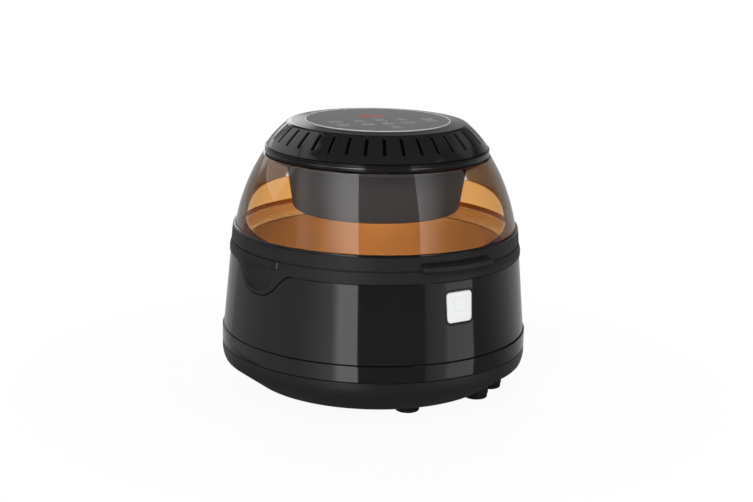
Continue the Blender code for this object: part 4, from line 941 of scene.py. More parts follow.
def lidRingGrid():
    # the ring's section carried round, its outer wall drawn out to the tab's section at the front
    wallTop = tab["hollowTop"] + ease["fine"]
    lean = (lidRing["shoulder"] - lidRing["foot"]) * (wallTop - ringLow) / lidRing["wallHeight"]
    wallTopRadius = lidRing["foot"] + lean
    plain = resampled([
        (lidRing["foot"], ringLow + ease["soft"]), (wallTopRadius, wallTop)], tab["wallCount"])
    plain = np.concatenate([footCorner(lidRing["foot"], ease["soft"]), plain])
    tabTop = ringLow + tab["thick"]
    angle = np.radians(np.linspace(40, 152, 14))
    hollow = np.stack([tab["hollowMiddle"] + tab["hollowReach"] * np.cos(angle),
                       tab["hollowTop"] - tab["hollowDrop"] * np.sin(angle)], -1)
    drawn = resampled([
        (tab["reach"], ringLow + 0.0007), (tab["reach"], tabTop - 0.0009),
        (tab["reach"] - ease["crisp"], tabTop - ease["crisp"]), (tab["reach"] - 0.0009, tabTop),
        *hollow.tolist(), (hollow[-1, 0], tab["hollowTop"] - ease["thin"]),
        (wallTopRadius - ease["soft"], tab["hollowTop"] - 0.0001), (wallTopRadius, wallTop),
    ], tab["wallCount"])
    drawn = np.concatenate([footCorner(tab["reach"], tab["footEase"]), drawn])
    rest = outline([
        (lidRing["shoulder"] + ease["soft"], wallTop + 0.0012, 0),
        (lidRing["shoulder"], lidRing["trimLow"] - lidRing["trimGap"], ease["fine"]),
        (lidRing["lip"], lidRing["trimLow"] - lidRing["trimGap"], ease["thin"]),
        (lidRing["lip"], lidRing["grooveFoot"], ease["crisp"]),
        (lidRing["groove"], lidRing["grooveFoot"], ease["crisp"]),
        (lidRing["groove"], lidRing["innerTop"], ease["soft"]),
        (lidRing["bore"], lidRing["innerTop"], ease["soft"]),
        (lidRing["bore"], ringLow, ease["soft"]),
    ])
    degrees = np.unique(np.concatenate([
        np.linspace(-180, 180, 181)[:-1], np.linspace(-16.0, -12.2, 40), np.linspace(12.2, 16.0, 40)]))
    past = np.clip((np.abs(degrees) - tab["straight"]) / (tab["ends"] - tab["straight"]), 0, 1)
    full = np.sqrt(1 - past**2)[:, None, None]
    wall = plain[None] + (drawn - plain)[None] * full
    section = np.concatenate([wall, np.broadcast_to(rest[None], (len(degrees), *rest.shape))], 1)
    return onCircle(section[..., 0], np.radians(degrees)[:, None], section[..., 1]), True, True


piece("lid_ring_trim", [turned([
    (lidRing["shoulder"] - 0.0001, lidRing["trimLow"], ease["fine"]),
    (lidRing["shoulder"] - ease["fine"], oven["ringTop"] - ease["crisp"], lidRing["trimRound"]),
    (lidRing["lip"], oven["ringTop"], ease["small"]),
    (lidRing["lip"], lidRing["trimLow"], ease["thin"]),
], turnSteps["round"])], trimBlack, "lid")
ringPiece = piece("lid_ring_rim", [lidRingGrid()], ringBlack, "lid", ["lid_ring"])
for start in (-hinge["pocket"], hinge["halfWidth"]):
    carve(ringPiece, [bar(hinge["room"], (start, hinge["y"], hinge["z"]),
                          hinge["pocket"] - hinge["halfWidth"], "X")])


def knuckleGrid(half, radius, bore):
    # a round sleeve along X about the hinge pin
    rim = outline([
        (radius, -half, ease["soft"]), (radius, half, ease["soft"]),
        (bore, half, ease["crisp"]), (bore, -half, ease["crisp"]),
    ])
    turn = fullTurn(64)[:, None]
    out, along = rim[None, :, 0], rim[None, :, 1]
    x, y, z = np.broadcast_arrays(along, out * np.cos(turn), out * np.sin(turn))
    return np.stack([x, y + hinge["y"], z + hinge["z"]], -1), True, True


carve(ringPiece, [bar(hinge["throat"], (-hinge["halfWidth"], hinge["y"], hinge["z"]),
                      2 * hinge["halfWidth"], "X")])
piece("lid_knuckle", [knuckleGrid(hinge["halfWidth"], hinge["knuckle"], hinge["bore"])],
      satinBlack, "lid")
print("lid ring made")

# Glass dome

dome = {"foot": 0.1599, "footLow": 0.1783, "glass": 0.003, "arc": 0.215, "shoulder": (0.1313, 0.2655),
        "corner": 0.12885, "innerCorner": 0.1259, "hole": 0.1170, "flange": 0.0010}
domeArc = (dome["foot"], oven["ringTop"]), dome["shoulder"], dome["arc"], 48
piece("dome_glass", [turned([
    (dome["foot"], dome["footLow"], ease["full"]),
    *arcBetween(*domeArc),
    (dome["corner"], oven["domeTop"], ease["full"]),
    (dome["hole"], oven["domeTop"], ease["crisp"]),
    (dome["hole"], oven["domeTop"] - dome["flange"], ease["crisp"]),
    (dome["innerCorner"], oven["domeTop"] - dome["flange"], ease["small"]),
    *arcBetween(*domeArc, dome["glass"])[::-1],
    (dome["foot"] - dome["glass"], dome["footLow"], ease["full"]),
], turnSteps["round"])], domeGlass, "lid", ["glass_dome"], sharpest=60)

# Heater housing

heater = {"flange": 0.1210, "top": 0.1035, "low": 0.0946, "lip": 0.0840, "high": 0.2682,
          "plate": 0.2642, "foot": 0.2072, "corner": 0.0045, "wall": 0.0015,
          "shaftHole": 0.005, "topRound": 0.003}
footIn = heater["foot"] + heater["wall"]
piece("heater_bucket", [turned([
    (heater["flange"], heater["high"], ease["small"]),
    (heater["flange"], heater["plate"], ease["small"]),
    (heater["top"], heater["plate"], heater["topRound"]),
    (heater["low"], heater["foot"], heater["corner"]),
    (heater["lip"], heater["foot"], ease["small"]),
    (heater["lip"], footIn, ease["fine"]),
    (heater["low"] - heater["wall"], footIn, heater["corner"] - heater["wall"]),
    (heater["top"] - heater["wall"], heater["plate"], ease["wide"]),
    (heater["shaftHole"], heater["plate"], ease["fine"]),
    (heater["shaftHole"], heater["high"], ease["fine"]),
], turnSteps["round"], arcSteps=6)], housingGrey, "lid", ["heater_housing"])
print("dome and heater housing made")

# Clamp ring and vent cap

clamp = {"outer": 0.1272, "inner": 0.1202, "step": 0.1249, "stepHeight": 0.0004,
         "bead": 0.00055, "beadLean": 0.00037, "beadProud": 0.0002, "beadSunk": 0.0016,
         "lowEase": 0.0024,
         "beads": ((0.2775, 0.0002), (0.2746, 0.0001))}      # height and inset of each bead
clampLow, clampHigh = oven["domeTop"] + 2 * gap, oven["clampTop"] - gap
piece("clamp_ring_lip", [turned([
    (clamp["step"], clampHigh, ease["crisp"]),
    (clamp["step"], clampHigh - clamp["stepHeight"], ease["crisp"]),
    (clamp["outer"], clampHigh - clamp["stepHeight"], ease["soft"]),
    (clamp["outer"], clampLow, clamp["lowEase"]),
    (clamp["inner"], clampLow, ease["fine"]),
    (clamp["inner"], clampHigh, ease["fine"]),
], turnSteps["outer"], arcSteps=6)], clampBlack, "lid", ["clamp_ring"])
# painted highlight: two light metal beads on the clamp's lip stand for the lip's highlight lines
beadOut = clamp["outer"] + clamp["beadProud"]
piece("clamp_ring_highlight_beads", [turned([
    (beadOut - inset, level - clamp["bead"], ease["thin"]),
    (beadOut - inset - clamp["beadLean"], level + clamp["bead"], ease["thin"]),
    (clamp["outer"] - clamp["beadSunk"], level + clamp["bead"], 0.0001),
    (clamp["outer"] - clamp["beadSunk"], level - clamp["bead"], 0.0001),
], turnSteps["outer"]) for level, inset in clamp["beads"]], beadHighlightGrey, "lid")

cap = {
    "foot": (0.1254, 0.27955),
    "head": (0.1048, 0.30215),
    "shoulder": (0.0970, 0.3059),
    "bulge": 0.120,
    "cornerRound": 0.0095,
    "wall": 0.0024,
    "low": 0.27895,
    "ledge": 0.0765,
    "ledgeTop": 0.3053,
    "ledgeLow": 0.3033,
    "ledgeOut": 0.004,
    "panelHole": 0.0817,
    "panelRim": 0.3073,
    "slots": 36,
    "slotPhase": 0.9,
    "slotLength": 0.0234,
    "slotWidth": 0.0039,
    "slotMiddle": 0.0214,     # along the cone, from its foot
    "slotEdge": 0.0006,
    "patchTop": 0.0356,       # along the cone, where the slotted patches end
    "shadeSheet": (0.0010, 0.0014),     # how far behind the wall the black sheet of painted shade lies
}


def capSkin():
    # the cap's outer line from the cone's foot over its head to the shoulder, with its length
    cone = np.array(arcBetween(cap["foot"], cap["head"], cap["bulge"], 12))[:, :2]
    corner = np.array(arcBetween(cap["head"], cap["shoulder"], cap["cornerRound"], 10))[1:, :2]
    line = np.concatenate([cone, corner])
    along = np.concatenate([[0], np.cumsum(np.hypot(*np.diff(line, axis=0).T))])
    heading = np.gradient(line, along, axis=0)
    heading /= np.linalg.norm(heading, axis=1, keepdims=True)
    return line, along, np.stack([heading[:, 1], -heading[:, 0]], -1)


def slottedCone():
    # one sector: rings from its border to the slot's rim, round the edge, through the wall and
    # back along the inside, repeated once for each slot
    line, along, out = capSkin()
    total = cap["patchTop"]
    sector = math.pi / cap["slots"]
    ends = 10
    half = cap["slotLength"] / 2 - cap["slotWidth"] / 2
    sideLevels = np.concatenate([np.linspace(0, 0.78, 15)[:-1], np.linspace(0.78, 1, 11)[:-1]])
    endTurn = np.linspace(0, np.pi, ends + 1)[:-1]

    def slotRim(grow):
        radius = cap["slotWidth"] / 2 + grow
        low = np.stack([-radius * np.cos(endTurn), -half - radius * np.sin(endTurn)], -1)
        right = np.stack([radius + 0 * sideLevels, -half + 2 * half * sideLevels], -1)
        high = np.stack([radius * np.cos(endTurn), half + radius * np.sin(endTurn)], -1)
        left = np.stack([-radius + 0 * sideLevels, half - 2 * half * sideLevels], -1)
        return np.concatenate([low, right, high, left]) + [0, cap["slotMiddle"]]

    steps = np.linspace(-1, 1, ends + 1)[:-1]
    border = np.concatenate([
        np.stack([steps * sector, 0 * steps], -1),
        np.stack([sector + 0 * sideLevels, total * sideLevels], -1),
        np.stack([-steps * sector, total + 0 * steps], -1),
        np.stack([-sector + 0 * sideLevels, total * (1 - sideLevels)], -1),
    ])

    def toBorder(share, grow):
        # flat sector coordinates: angle off the slot and distance along the cone
        rim = slotRim(grow)
        radius = np.interp(rim[:, 1], along, line[:, 0])
        angled = np.stack([rim[:, 0] / radius, rim[:, 1]], -1)
        return angled + (border - angled) * share

    edge, wall = cap["slotEdge"], cap["wall"]
    rings = [(toBorder(share, edge), 0.0) for share in (1, 0.75, 0.5, 0.3, 0.12, 0.04, 0)]
    for angle in np.radians((22.5, 45, 67.5, 90)):
        rings.append((toBorder(0, edge * (1 - math.sin(angle))), edge * (1 - math.cos(angle))))
    rings += [(toBorder(0, 0), edge * 1.5), (toBorder(0, 0), wall)]
    rings += [(toBorder(share, 0), wall) for share in (0.05, 0.5, 1)]
    flat = np.stack([ring for ring, _ in rings], 1)
    depth = np.array([depth for _, depth in rings])[None, :]
    level = np.clip(flat[..., 1], 0, total)
    skin = [np.interp(level, along, values) for values in (*line.T, *out.T)]
    radius, height = skin[0] - skin[2] * depth, skin[1] - skin[3] * depth
    turn = flat[..., 0][None] + np.radians(cap["slotPhase"]) + fullTurn(cap["slots"])[:, None, None]
    grids = onCircle(radius[None], turn, height[None])
    return [(grid, True, False) for grid in grids]


capLine, capAlong, capOut = capSkin()
capFootIn = capLine[0] - capOut[0] * cap["wall"]
restAlong = np.linspace(cap["patchTop"], capAlong[-1], 8)
capRest = np.stack([np.interp(restAlong, capAlong, capLine[:, k]) for k in (0, 1)], -1)
restOut = np.array([np.interp(restAlong[0], capAlong, capOut[:, k]) for k in (0, 1)])
capRestIn = capRest[0] - cap["wall"] * restOut


def capStrip(corners):
    # an open strip between the outer and the inner border of the slotted cone
    rim = np.array(corners)
    azimuth = fullTurn(360, cap["slotPhase"] - 180 / cap["slots"])
    return onCircle(rim[None, :, 0], azimuth[:, None], rim[None, :, 1]), True, False


footArc = outline([
    (capLine[0, 0], capLine[0, 1], 0), (capLine[0, 0] - 0.0005, cap["low"], ease["thin"]),
    (capFootIn[0] - 0.0006, cap["low"], ease["crisp"]), (capFootIn[0], capFootIn[1], 0),
], 4, 0.0001)
topArc = outline([
    *[(x, z, 0) for x, z in capRest], (cap["panelHole"], cap["panelRim"], 0.0006),
    (cap["panelHole"], cap["ledgeTop"], ease["thin"]), (cap["ledge"], cap["ledgeTop"], ease["crisp"]),
    (cap["ledge"], cap["ledgeLow"], ease["crisp"]),
    (capRestIn[0] - cap["ledgeOut"], cap["ledgeLow"], ease["crisp"]),
    (capRestIn[0], capRestIn[1], 0),
], 4, 0.0002)
piece("vent_cap_cone", [*slottedCone(), capStrip(footArc), capStrip(topArc)],
      capBlack, "lid", ["vent_cap"], merge=8e-6)
# painted shade: a matte black sheet just behind the cap's wall, so the slots show black as if in shade
shadeSheetAlong = np.linspace(0.0008, cap["patchTop"], 24)
shadeSheetSkin = [np.interp(shadeSheetAlong, capAlong, values) for values in (*capLine.T, *capOut.T)]
shadeSheetSides = [np.stack([shadeSheetSkin[0] - shadeSheetSkin[2] * depth, shadeSheetSkin[1] - shadeSheetSkin[3] * depth], -1)
              for depth in (cap["wall"] + cap["shadeSheet"][0], cap["wall"] + cap["shadeSheet"][1])]
shadeSheetRim = np.concatenate([shadeSheetSides[0], shadeSheetSides[1][::-1]])
shadeSheetGrid = onCircle(shadeSheetRim[None, :, 0], fullTurn(180)[:, None], shadeSheetRim[None, :, 1])
piece("vent_cap_shadeSheet", [(shadeSheetGrid, True, True)], shadeSheetBlack, "lid")
print("cap made")

# Touch panel with its printed keys and lit digits

panel = {"radius": 0.0814, "low": 0.3056, "high": 0.3076,
         "trimOuter": 0.0822, "trimInner": 0.0810, "trimLow": 0.3069, "trimTop": 0.30795}
piece("panel_glass", [turned([
    (0, panel["high"], 0),
    (panel["radius"], panel["high"], ease["small"]),
    (panel["radius"], panel["low"], ease["crisp"]),
    (0, panel["low"], 0),
], turnSteps["outer"])], panelGloss, "lid", ["touch_panel"])

# painted highlight: a pale ring at the panel's edge stands for the highlight on the cap's shoulder
# round the panel
piece("panel_highlight_ring", [turned([
    (panel["trimOuter"], panel["trimLow"], 0.0001),
    (panel["trimOuter"], panel["trimTop"], ease["thin"]),
    (panel["trimInner"], panel["trimTop"], ease["thin"]),
    (panel["trimInner"], panel["trimLow"], 0.0001),
], turnSteps["outer"])], highlightPale, "lid")

marks = {
    "turn": -13.0,          # degrees about Z
    "shift": (0.0014, 0.0030),
    "lift": 0.00003,
    "line": 0.0011,
    "digit": (0.0048, 0.0150, 0.0068, 0.0013),     # width, height, step and stroke
    "digitsAt": (0.0, 0.0215),
    "sign": (0.0062, 0.0048),      # half width and half height of the rings
    "keys": {
        "minus": [(-0.025, -0.006)],
        "bar": [(0.0, -0.006), (0.0, -0.056)],
        "plus": [(0.025, -0.006)],
        "ring": [(-0.024, -0.031), (0.055, -0.009)],
        "dial": [(0.0, -0.031), (-0.052, -0.0295)],
        "waves": [(0.025, -0.031), (-0.054, -0.009), (0.055, -0.026)],
    },
}


def flatBars(ends, width):
    # flat strokes from (x0, y0, x1, y1) rows, each with pointed ends, as closed thin prisms
    rows = np.array(ends, float)
    start, end = rows[:, :2], rows[:, 2:]
    way = (end - start) / np.linalg.norm(end - start, axis=1, keepdims=True)
    across = np.stack([-way[:, 1], way[:, 0]], -1) * width / 2
    tip = way * width / 2
    loop = np.stack([start, start + tip + across, end - tip + across, end, end - tip - across,
                     start + tip - across], 1)
    middle = np.repeat(loop.mean(1, keepdims=True), 6, 1)
    low, high = panel["high"] - 0.00005, panel["high"] + marks["lift"]
    flat = np.stack([middle, loop, loop, middle], 2) + marks["shift"]
    turn = math.radians(marks["turn"])
    x = flat[..., 0] * math.cos(turn) - flat[..., 1] * math.sin(turn)
    y = flat[..., 0] * math.sin(turn) + flat[..., 1] * math.cos(turn)
    z = np.broadcast_to([low, low, high, high], x.shape)
    return [(grid, True, False) for grid in np.stack([x, y, z], -1)]


def digitStrokes(shown, middle):
    # straight strokes of a seven stroke digit, numbered from the top round to the right: top,
    # upper right, lower right, bottom, lower left, upper left and middle
    width, height, step, stroke = marks["digit"]
    w, h = width / 2, height / 2
    sides = np.array([(-w, h, w, h), (w, h, w, 0), (w, 0, w, -h), (-w, -h, w, -h), (-w, 0, -w, -h),
                      (-w, h, -w, 0), (-w, 0, w, 0)])
    lit = {"0": "012345", "2": "01346"}
    rows = []
    for place, digit in enumerate(shown):
        offset = np.array(middle * 2) + [(place - (len(shown) - 1) / 2) * step, 0] * 2
        rows += [sides[int(k)] + offset for k in lit[digit]]
    return flatBars(rows, stroke)


def polyline(points, closed=False):
    # strokes from each point to the next, and back to the first where it is closed
    points = np.array(points)
    after = np.roll(points, -1, 0)
    rows = np.concatenate([points, after], 1)
    return rows if closed else rows[:-1]


def keyStrokes():
    # plain signs: a minus, a plus, a bar, a ring, a dial with its hand, and three waves
    turn = fullTurn(12)
    circle = np.stack([np.cos(turn), np.sin(turn)], -1) * marks["sign"]
    swing = np.linspace(0, 2 * np.pi, 9)
    wave = np.stack([(swing / np.pi - 1) * 0.0075, np.sin(swing) * 0.0013], -1)
    under = [(-0.007, -0.0065, 0.007, -0.0065)]
    shapes = {
        "minus": np.array([(-0.006, 0.001, 0.006, 0.001), *under]),
        "plus": np.array([(-0.006, 0.001, 0.006, 0.001), (0, -0.0035, 0, 0.0055), *under]),
        "bar": np.array([(-0.007, 0.0045, 0.007, 0.0045), (-0.004, 0, 0.004, 0), *under]),
        "ring": np.concatenate([polyline(circle, True), under]),
        "dial": np.concatenate([polyline(circle, True), [(0, 0, 0, marks["sign"][1])], under]),
        "waves": np.concatenate([polyline(wave + [0, lift]) for lift in (-0.005, 0, 0.005)]),
    }
    rows = [shapes[sign] + np.array([*spot, *spot])
            for sign, spots in marks["keys"].items() for spot in spots]
    return flatBars(np.concatenate(rows), marks["line"])


markGrey = plasticLook("markGrey", (0.48, 0.49, 0.50), (0.35, 0.45))
digitRed = litLook("digitRed", (0.42, 0.03, 0.03), 0.45, 0.35)
piece("panel_marks", keyStrokes(), markGrey, "lid")
piece("display_digits", digitStrokes("0020", marks["digitsAt"]), digitRed, "lid")
print("panel made")

# Finishes of the CAD nodes that keep their shape

nodeLooks = (
    (brightSteel, ("inner_housing", "hinge_pin", "hinge_screw_left", "hinge_screw_right",
                   "latch_striker", "reflector", "temperature_probe", "motor_shaft", "convection_fan")),
    (darkSteel, ("latch_bolt", "hinge_bracket", "heater_grille", "motor_plate", "fan_motor")),
    (potSteel, ("crisper_tray",)),
    (rubberBlack, ("cord_gland",)),
    (glowSteel, ("heating_element",)),
    (boardGreen, ("control_board",)),
    (displayBack, ("display_module",)),
    (satinBlack, ("cooling_fan",)),
)
for look, names in nodeLooks:
    for name in names:
        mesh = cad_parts[name].data
        mesh.materials.clear()
        mesh.materials.append(look)
print("CAD nodes finished")

# Floor, world, lamps and camera

studio = {
    "floorHalf": 6.0,
    "floorDrop": 0.0002,           # how far the floor lies below the feet
    "cameraAzimuth": -33.2,
    "cameraOut": 1.7495,
    "cameraHeight": 0.5856,
    "yaw": 0.058,
    "pitch": 13.844,
    "roll": 1.222,
    "focalPixels": 1562.6,
    "pictureWidth": 753,           # pixels
    "sensor": 36.0,
    "ambient": 0.36,
    "shine": (0.10, 0.50),         # what shiny surfaces see on the camera's side and beyond
    "floorTurn": (-0.2, 0.5),      # how far beyond the oven a ray points where that tone turns
    "skyTurn": (0.55, 0.95),
    "darkRise": (0.05, 0.40),      # sines of the heights between which the sky goes dark
    "darkTop": 0.06,
    "shadowShare": 0.06,
    "shadowReach": (0.30, 0.48),
    "floorTone": (0.88, 0.88, 0.88),
    "shineCover": 0.9,             # how much of the floor's own shading that tone hides
    "glowCover": 4.0,              # how soon a screen's glow hides what lies behind it
}


def sightShares(tree):
    # two masks for a ray's kind: white for the camera and for rays that only crossed glass, and
    # the shine tone for rays that were mirrored on their way
    path = addNode(tree, "LightPath", {}).outputs
    leaving = path["Is Transmission Ray"]
    straight = valueNode(tree, "LESS_THAN", path["Glossy Depth"], 0.5)
    crossed = valueNode(tree, "MULTIPLY", leaving, straight)
    seen = valueNode(tree, "MAXIMUM", path["Is Camera Ray"], crossed)
    return seen, valueNode(tree, "MAXIMUM", path["Is Glossy Ray"], leaving)


def behindShare(tree, direction, between):
    # brightness that shiny surfaces see: low on the camera's side and higher beyond the oven,
    # and darker the higher a ray points
    turn = math.radians(-studio["cameraAzimuth"])
    along = addNode(tree, "VectorMath", {0: direction, 1: (math.sin(turn), math.cos(turn), 0)},
                    operation="DOT_PRODUCT")
    rise = addNode(tree, "SeparateXYZ", {"Vector": direction})
    low, high = studio["darkRise"]
    dark = addNode(tree, "MapRange", {
        "Value": rise.outputs["Z"], "From Min": low, "From Max": high,
        "To Min": 1.0, "To Max": studio["darkTop"],
    }, interpolation_type="SMOOTHSTEP")
    spread = addNode(tree, "MapRange", {
        "Value": along.outputs["Value"], "From Min": between[0], "From Max": between[1],
        "To Min": studio["shine"][0], "To Max": studio["shine"][1],
    })
    return valueNode(tree, "MULTIPLY", spread.outputs["Result"], dark.outputs["Result"])


def floorLook():
    # pale floor: white to the eye, with a share of real shading round the oven that keeps its
    # shadow, and a plain graded tone for shiny surfaces
    look, tree, shader = newLook("floorWhite")
    shader.inputs["Base Color"].default_value = (*studio["floorTone"], 1)
    shader.inputs["Roughness"].default_value = 0.9
    shader.inputs["Specular IOR Level"].default_value = 0.0
    spot = addNode(tree, "NewGeometry", {}).outputs["Position"]
    out = addNode(tree, "VectorMath", {0: spot}, operation="LENGTH")
    near, far = studio["shadowReach"]
    share = addNode(tree, "MapRange", {
        "Value": out.outputs["Value"], "From Min": near, "From Max": far,
        "To Min": 1 - studio["shadowShare"], "To Max": 1.0,
    }, interpolation_type="SMOOTHSTEP")
    heading = addNode(tree, "VectorMath", {0: spot}, operation="NORMALIZE").outputs["Vector"]
    seen, shine = sightShares(tree)
    shown = valueNode(tree, "MULTIPLY", shine, behindShare(tree, heading, studio["floorTurn"]))
    white = addNode(tree, "Emission", {"Strength": valueNode(tree, "MAXIMUM", seen, shown)})
    eye = valueNode(tree, "MULTIPLY", seen, share.outputs["Result"])
    factor = valueNode(tree, "MAXIMUM", eye, valueNode(tree, "MULTIPLY", shine, studio["shineCover"]))
    showMixed(tree, factor, shader.outputs["BSDF"], white.outputs["Emission"])
    return look


side = studio["floorHalf"]
corners = np.array([[-side, -side, 0], [side, -side, 0], [side, side, 0], [-side, side, 0]])
floorMesh = bpy.data.meshes.new("floor")
floorMesh.from_pydata((corners - [0, 0, studio["floorDrop"]]).tolist(), [], [[0, 1, 2, 3]])
floor = bpy.data.objects.new("floor", floorMesh)
floorMesh.materials.append(floorLook())
scene.collection.objects.link(floor)

world = bpy.data.worlds.new("studio")
scene.world = world
world.use_nodes = True
backdrop = world.node_tree.nodes["Background"]
backdrop.inputs["Color"].default_value = (1, 1, 1, 1)
heading = addNode(world.node_tree, "TexCoord", {}).outputs["Generated"]
seen, shine = sightShares(world.node_tree)
tone = addNode(world.node_tree, "Mix", {
    "Factor": shine,
    "A": studio["ambient"],
    "B": behindShare(world.node_tree, heading, studio["skyTurn"]),
}, data_type="FLOAT")
strength = valueNode(world.node_tree, "MAXIMUM", seen, tone.outputs["Result"])
world.node_tree.links.new(strength, backdrop.inputs["Strength"])

# softboxes that light the oven but don't mirror in it: azimuth from the front toward +X,
# distance, low and high edge, width, radiance
softboxes = {
    "keyLeft": (-56.0, 1.6, 0.02, 2.6, 0.66, 5.0),
    "keyRight": (39.5, 1.6, 0.02, 2.4, 0.66, 2.6),
}


def softbox(name, spot, target, width, depth, radiance, mirrored=True, colour=(1, 1, 1)):
    # a flat lamp turned to its target, with its power worked out from its radiance
    lamp = bpy.data.lights.new(name, "AREA")
    lamp.shape = "RECTANGLE"
    lamp.size, lamp.size_y = width, depth
    lamp.color = colour
    lamp.energy = radiance * math.pi * width * depth
    obj = bpy.data.objects.new(name, lamp)
    scene.collection.objects.link(obj)
    obj.location = spot
    obj.rotation_mode = "QUATERNION"
    obj.rotation_quaternion = (Vector(target) - Vector(spot)).to_track_quat("-Z", "Y")
    obj.visible_camera = False
    obj.visible_glossy = obj.visible_transmission = mirrored
    return obj


for name, (azimuth, distance, low, high, width, radiance) in softboxes.items():
    spot = onCircle(distance, math.radians(azimuth), (low + high) / 2)
    softbox(name, spot, (0, 0, spot[2]), width, high - low, radiance, mirrored=False)
rearLamp = {"spot": (0.75, 1.25, 1.35), "target": (0, 0, 0.25), "width": 1.6, "depth": 0.7,
            "radiance": 4.0}
ovenLamp = {"spot": (0, 0, 0.2060), "target": (0, 0, 0), "width": 0.12, "depth": 0.12, "radiance": 6.0,
            "colour": (1.0, 0.62, 0.28)}
softbox("topRear", **rearLamp, mirrored=False)
warm = softbox("ovenLamp", **ovenLamp)
warm.data.shape = "DISK"
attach(warm, "lid")

# screens that only shiny surfaces see. Heights and edges give their outline (edges in degrees from
# the camera's side toward the right), "across" the brightness from edge to edge, "up" its
# factor with height.
screens = {
    "leftScreen": {
        "distance": 0.30,
        "heights": (0, 0.06, 0.12, 0.18),
        "left": (-21.9, -22.7, -23.4, -24.7),
        "right": (-7.2, -7.9, -8.5, -9.05),
        "across": ((0, 0.34), (0.12, 0.45), (0.35, 1.0), (1, 1.0)),
        "up": ((0, 3.4), (0.18, 3.6)),
    },
    "leftDomeScreen": {
        "distance": 0.30,
        "heights": (0.19, 0.21, 0.25, 0.30, 0.36, 0.42, 0.50),
        "left": (-49.0, -50.3, -53.2, -58.8, -68.0, -80.0, -98.0),
        "right": (-9.1, -9.4, -9.9, -11.0, -12.5, -14.3, -17.0),
        "across": ((0, 0.0), (0.11, 1.0), (0.215, 0.95), (0.32, 0.6), (0.41, 0.5), (0.505, 0.87),
                   (0.60, 1.55), (0.69, 2.45), (0.77, 3.0), (0.855, 3.35), (1, 3.5)),
        "up": ((0.19, 1.0), (0.50, 1.0)),
    },
    "leftFill": {
        "distance": 0.31,
        "heights": (0, 0.1, 0.15, 0.2),
        "left": -105.0,
        "right": -20.0,
        "across": ((0, 0.38), (0.24, 0.45), (0.39, 0.47), (0.59, 0.50), (0.74, 0.55), (0.85, 0.8),
                   (0.92, 1.1), (1, 1.3)),
        "up": ((0, 1.0), (0.16, 1.0), (0.20, 0.0)),
    },
    "rightScreen": {
        "distance": 0.30,
        "heights": (0, 0.06, 0.12, 0.18),
        "left": (26.0, 26.2, 26.4, 26.6),
        "right": (57.7, 58.4, 59.2, 59.9),
        "across": ((0, 0.0), (0.08, 0.35), (0.40, 0.55), (0.47, 1.0), (1, 1.0)),
        "up": ((0, 1.5), (0.18, 1.5)),
    },
    "rightDomeScreen": {
        "distance": 0.30,
        "heights": (0.19, 0.212, 0.25, 0.30, 0.36, 0.42, 0.50),
        "left": (25.6, 26.2, 27.1, 28.8, 30.3, 32.6, 37.0),
        "right": (42.8, 43.8, 45.8, 49.3, 56.0, 65.0, 78.0),
        "across": ((0, 2.7), (0.11, 2.2), (0.22, 1.8), (0.44, 1.2), (0.67, 0.6), (0.9, 0.2), (1, 0.0)),
        "up": ((0.19, 1.0), (0.30, 1.0), (0.40, 0.85), (0.475, 0.7), (0.50, 0.65)),
    },
    "leftBack": {
        "distance": 0.95,
        "heights": (0.34, 0.42, 0.54, 0.66),
        "left": -172.0,
        "right": -128.0,
        "across": ((0, 0.3), (0.08, 1.8), (0.25, 1.7), (0.45, 1.1), (0.8, 1.0), (1, 0.3)),
        "up": ((0.34, 0.6), (0.38, 1.2), (0.56, 1.2), (0.66, 0.4)),
    },
    "leftSky": {
        "distance": 0.9,
        "heights": (0.45, 0.8, 1.2, 1.5),
        "left": -150.0,
        "right": -88.0,
        "across": ((0, 0.0), (0.2, 1.0), (0.9, 1.0), (1, 0.0)),
        "up": ((0.45, 0.9), (1.3, 1.1), (1.5, 0.0)),
    },
    "rightSky": {
        "distance": 0.9,
        "heights": (0.6, 0.8, 1.2, 1.6),
        "left": 100.0,
        "right": 150.0,
        "across": ((0, 0.0), (0.2, 1.0), (0.8, 1.0), (1, 0.0)),
        "up": ((0.6, 0.0), (0.68, 0.28), (0.9, 0.28), (1.05, 0.15), (1.4, 0.15), (1.6, 0.0)),
    },
}


def screenLook():
    # light of the "glow" attribute's strength, thinned to nothing where it is faint
    look, tree, shader = newLook("screenLight")
    tree.nodes.remove(shader)
    glow = addNode(tree, "Attribute", {}, attribute_name="glow").outputs["Fac"]
    light = addNode(tree, "Emission", {"Strength": glow})
    thin = addNode(tree, "BsdfTransparent", {})
    cover = valueNode(tree, "MULTIPLY", glow, studio["glowCover"])
    cover = valueNode(tree, "MINIMUM", cover, 1.0)
    showMixed(tree, cover, thin.outputs["BSDF"], light.outputs["Emission"])
    return look


screenLight = screenLook()


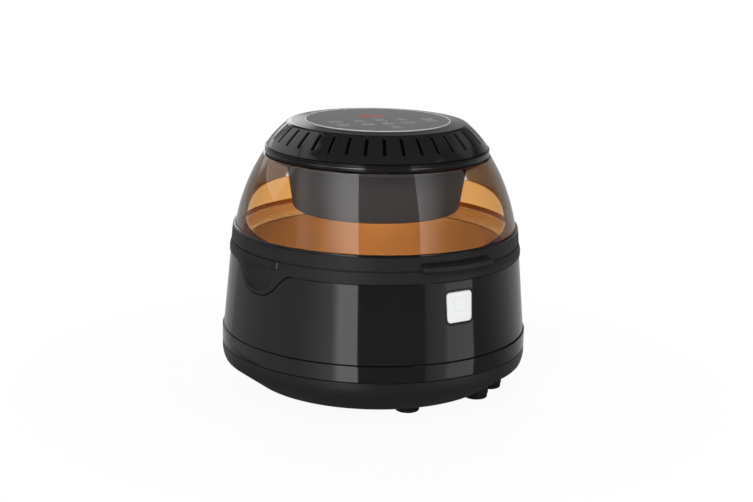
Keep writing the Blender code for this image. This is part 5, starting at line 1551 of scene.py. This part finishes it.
def screen(name, distance, heights, left, right, across, up):
    # a sheet curved round the oven's axis, whose side edges are cubic curves of the height, with
    # the brightness stored at its points: the "across" share times the "up" share
    level = np.linspace(heights[0], heights[-1], 61)[None, :]
    edges = [np.broadcast_to(edge, len(heights)) for edge in (left, right)]
    low, high = [np.polyval(np.polyfit(heights, edge, 3), level) for edge in edges]
    share = np.linspace(0, 1, 81)[:, None]
    azimuth = np.radians(low + (high - low) * share + studio["cameraAzimuth"])
    glow = np.interp(share, *np.transpose(across)) * np.interp(level, *np.transpose(up))
    grid = onCircle(distance, azimuth, level)
    mesh = bpy.data.meshes.new(name)
    mesh.from_pydata(grid.reshape(-1, 3).tolist(), [], quads(81, 61, False, False, 0).tolist())
    mesh.attributes.new("glow", "FLOAT", "POINT").data.foreach_set("value", glow.ravel())
    mesh.materials.append(screenLight)
    obj = bpy.data.objects.new(name, mesh)
    scene.collection.objects.link(obj)
    obj.visible_camera = obj.visible_diffuse = obj.visible_shadow = obj.visible_transmission = False


for name, values in screens.items():
    screen(name, **values)

# camera: pitch down, roll about the line of sight, all turned to its azimuth
yaw, pitch, roll = (math.radians(studio[key]) for key in ("yaw", "pitch", "roll"))
sight = np.array([math.sin(yaw) * math.cos(pitch), math.cos(yaw) * math.cos(pitch), -math.sin(pitch)])
right = np.array([math.cos(yaw), -math.sin(yaw), 0.0])
up = np.cross(right, sight)
rolledRight = math.cos(roll) * right + math.sin(roll) * up
rolledUp = math.cos(roll) * up - math.sin(roll) * right
basis = np.eye(4)
basis[:3, 0], basis[:3, 1], basis[:3, 2] = rolledRight, rolledUp, -sight
basis[:3, 3] = (0, -studio["cameraOut"], studio["cameraHeight"])
cameraData = bpy.data.cameras.new("camera")
camera = bpy.data.objects.new("camera", cameraData)
scene.collection.objects.link(camera)
cameraData.sensor_width = studio["sensor"]
cameraData.lens = studio["focalPixels"] / studio["pictureWidth"] * studio["sensor"]
cameraTurn = Matrix.Rotation(math.radians(studio["cameraAzimuth"]), 4, "Z")
camera.matrix_world = cameraTurn @ Matrix(basis.tolist())
scene.camera = camera
scene.view_settings.view_transform = "Standard"
print("studio set")
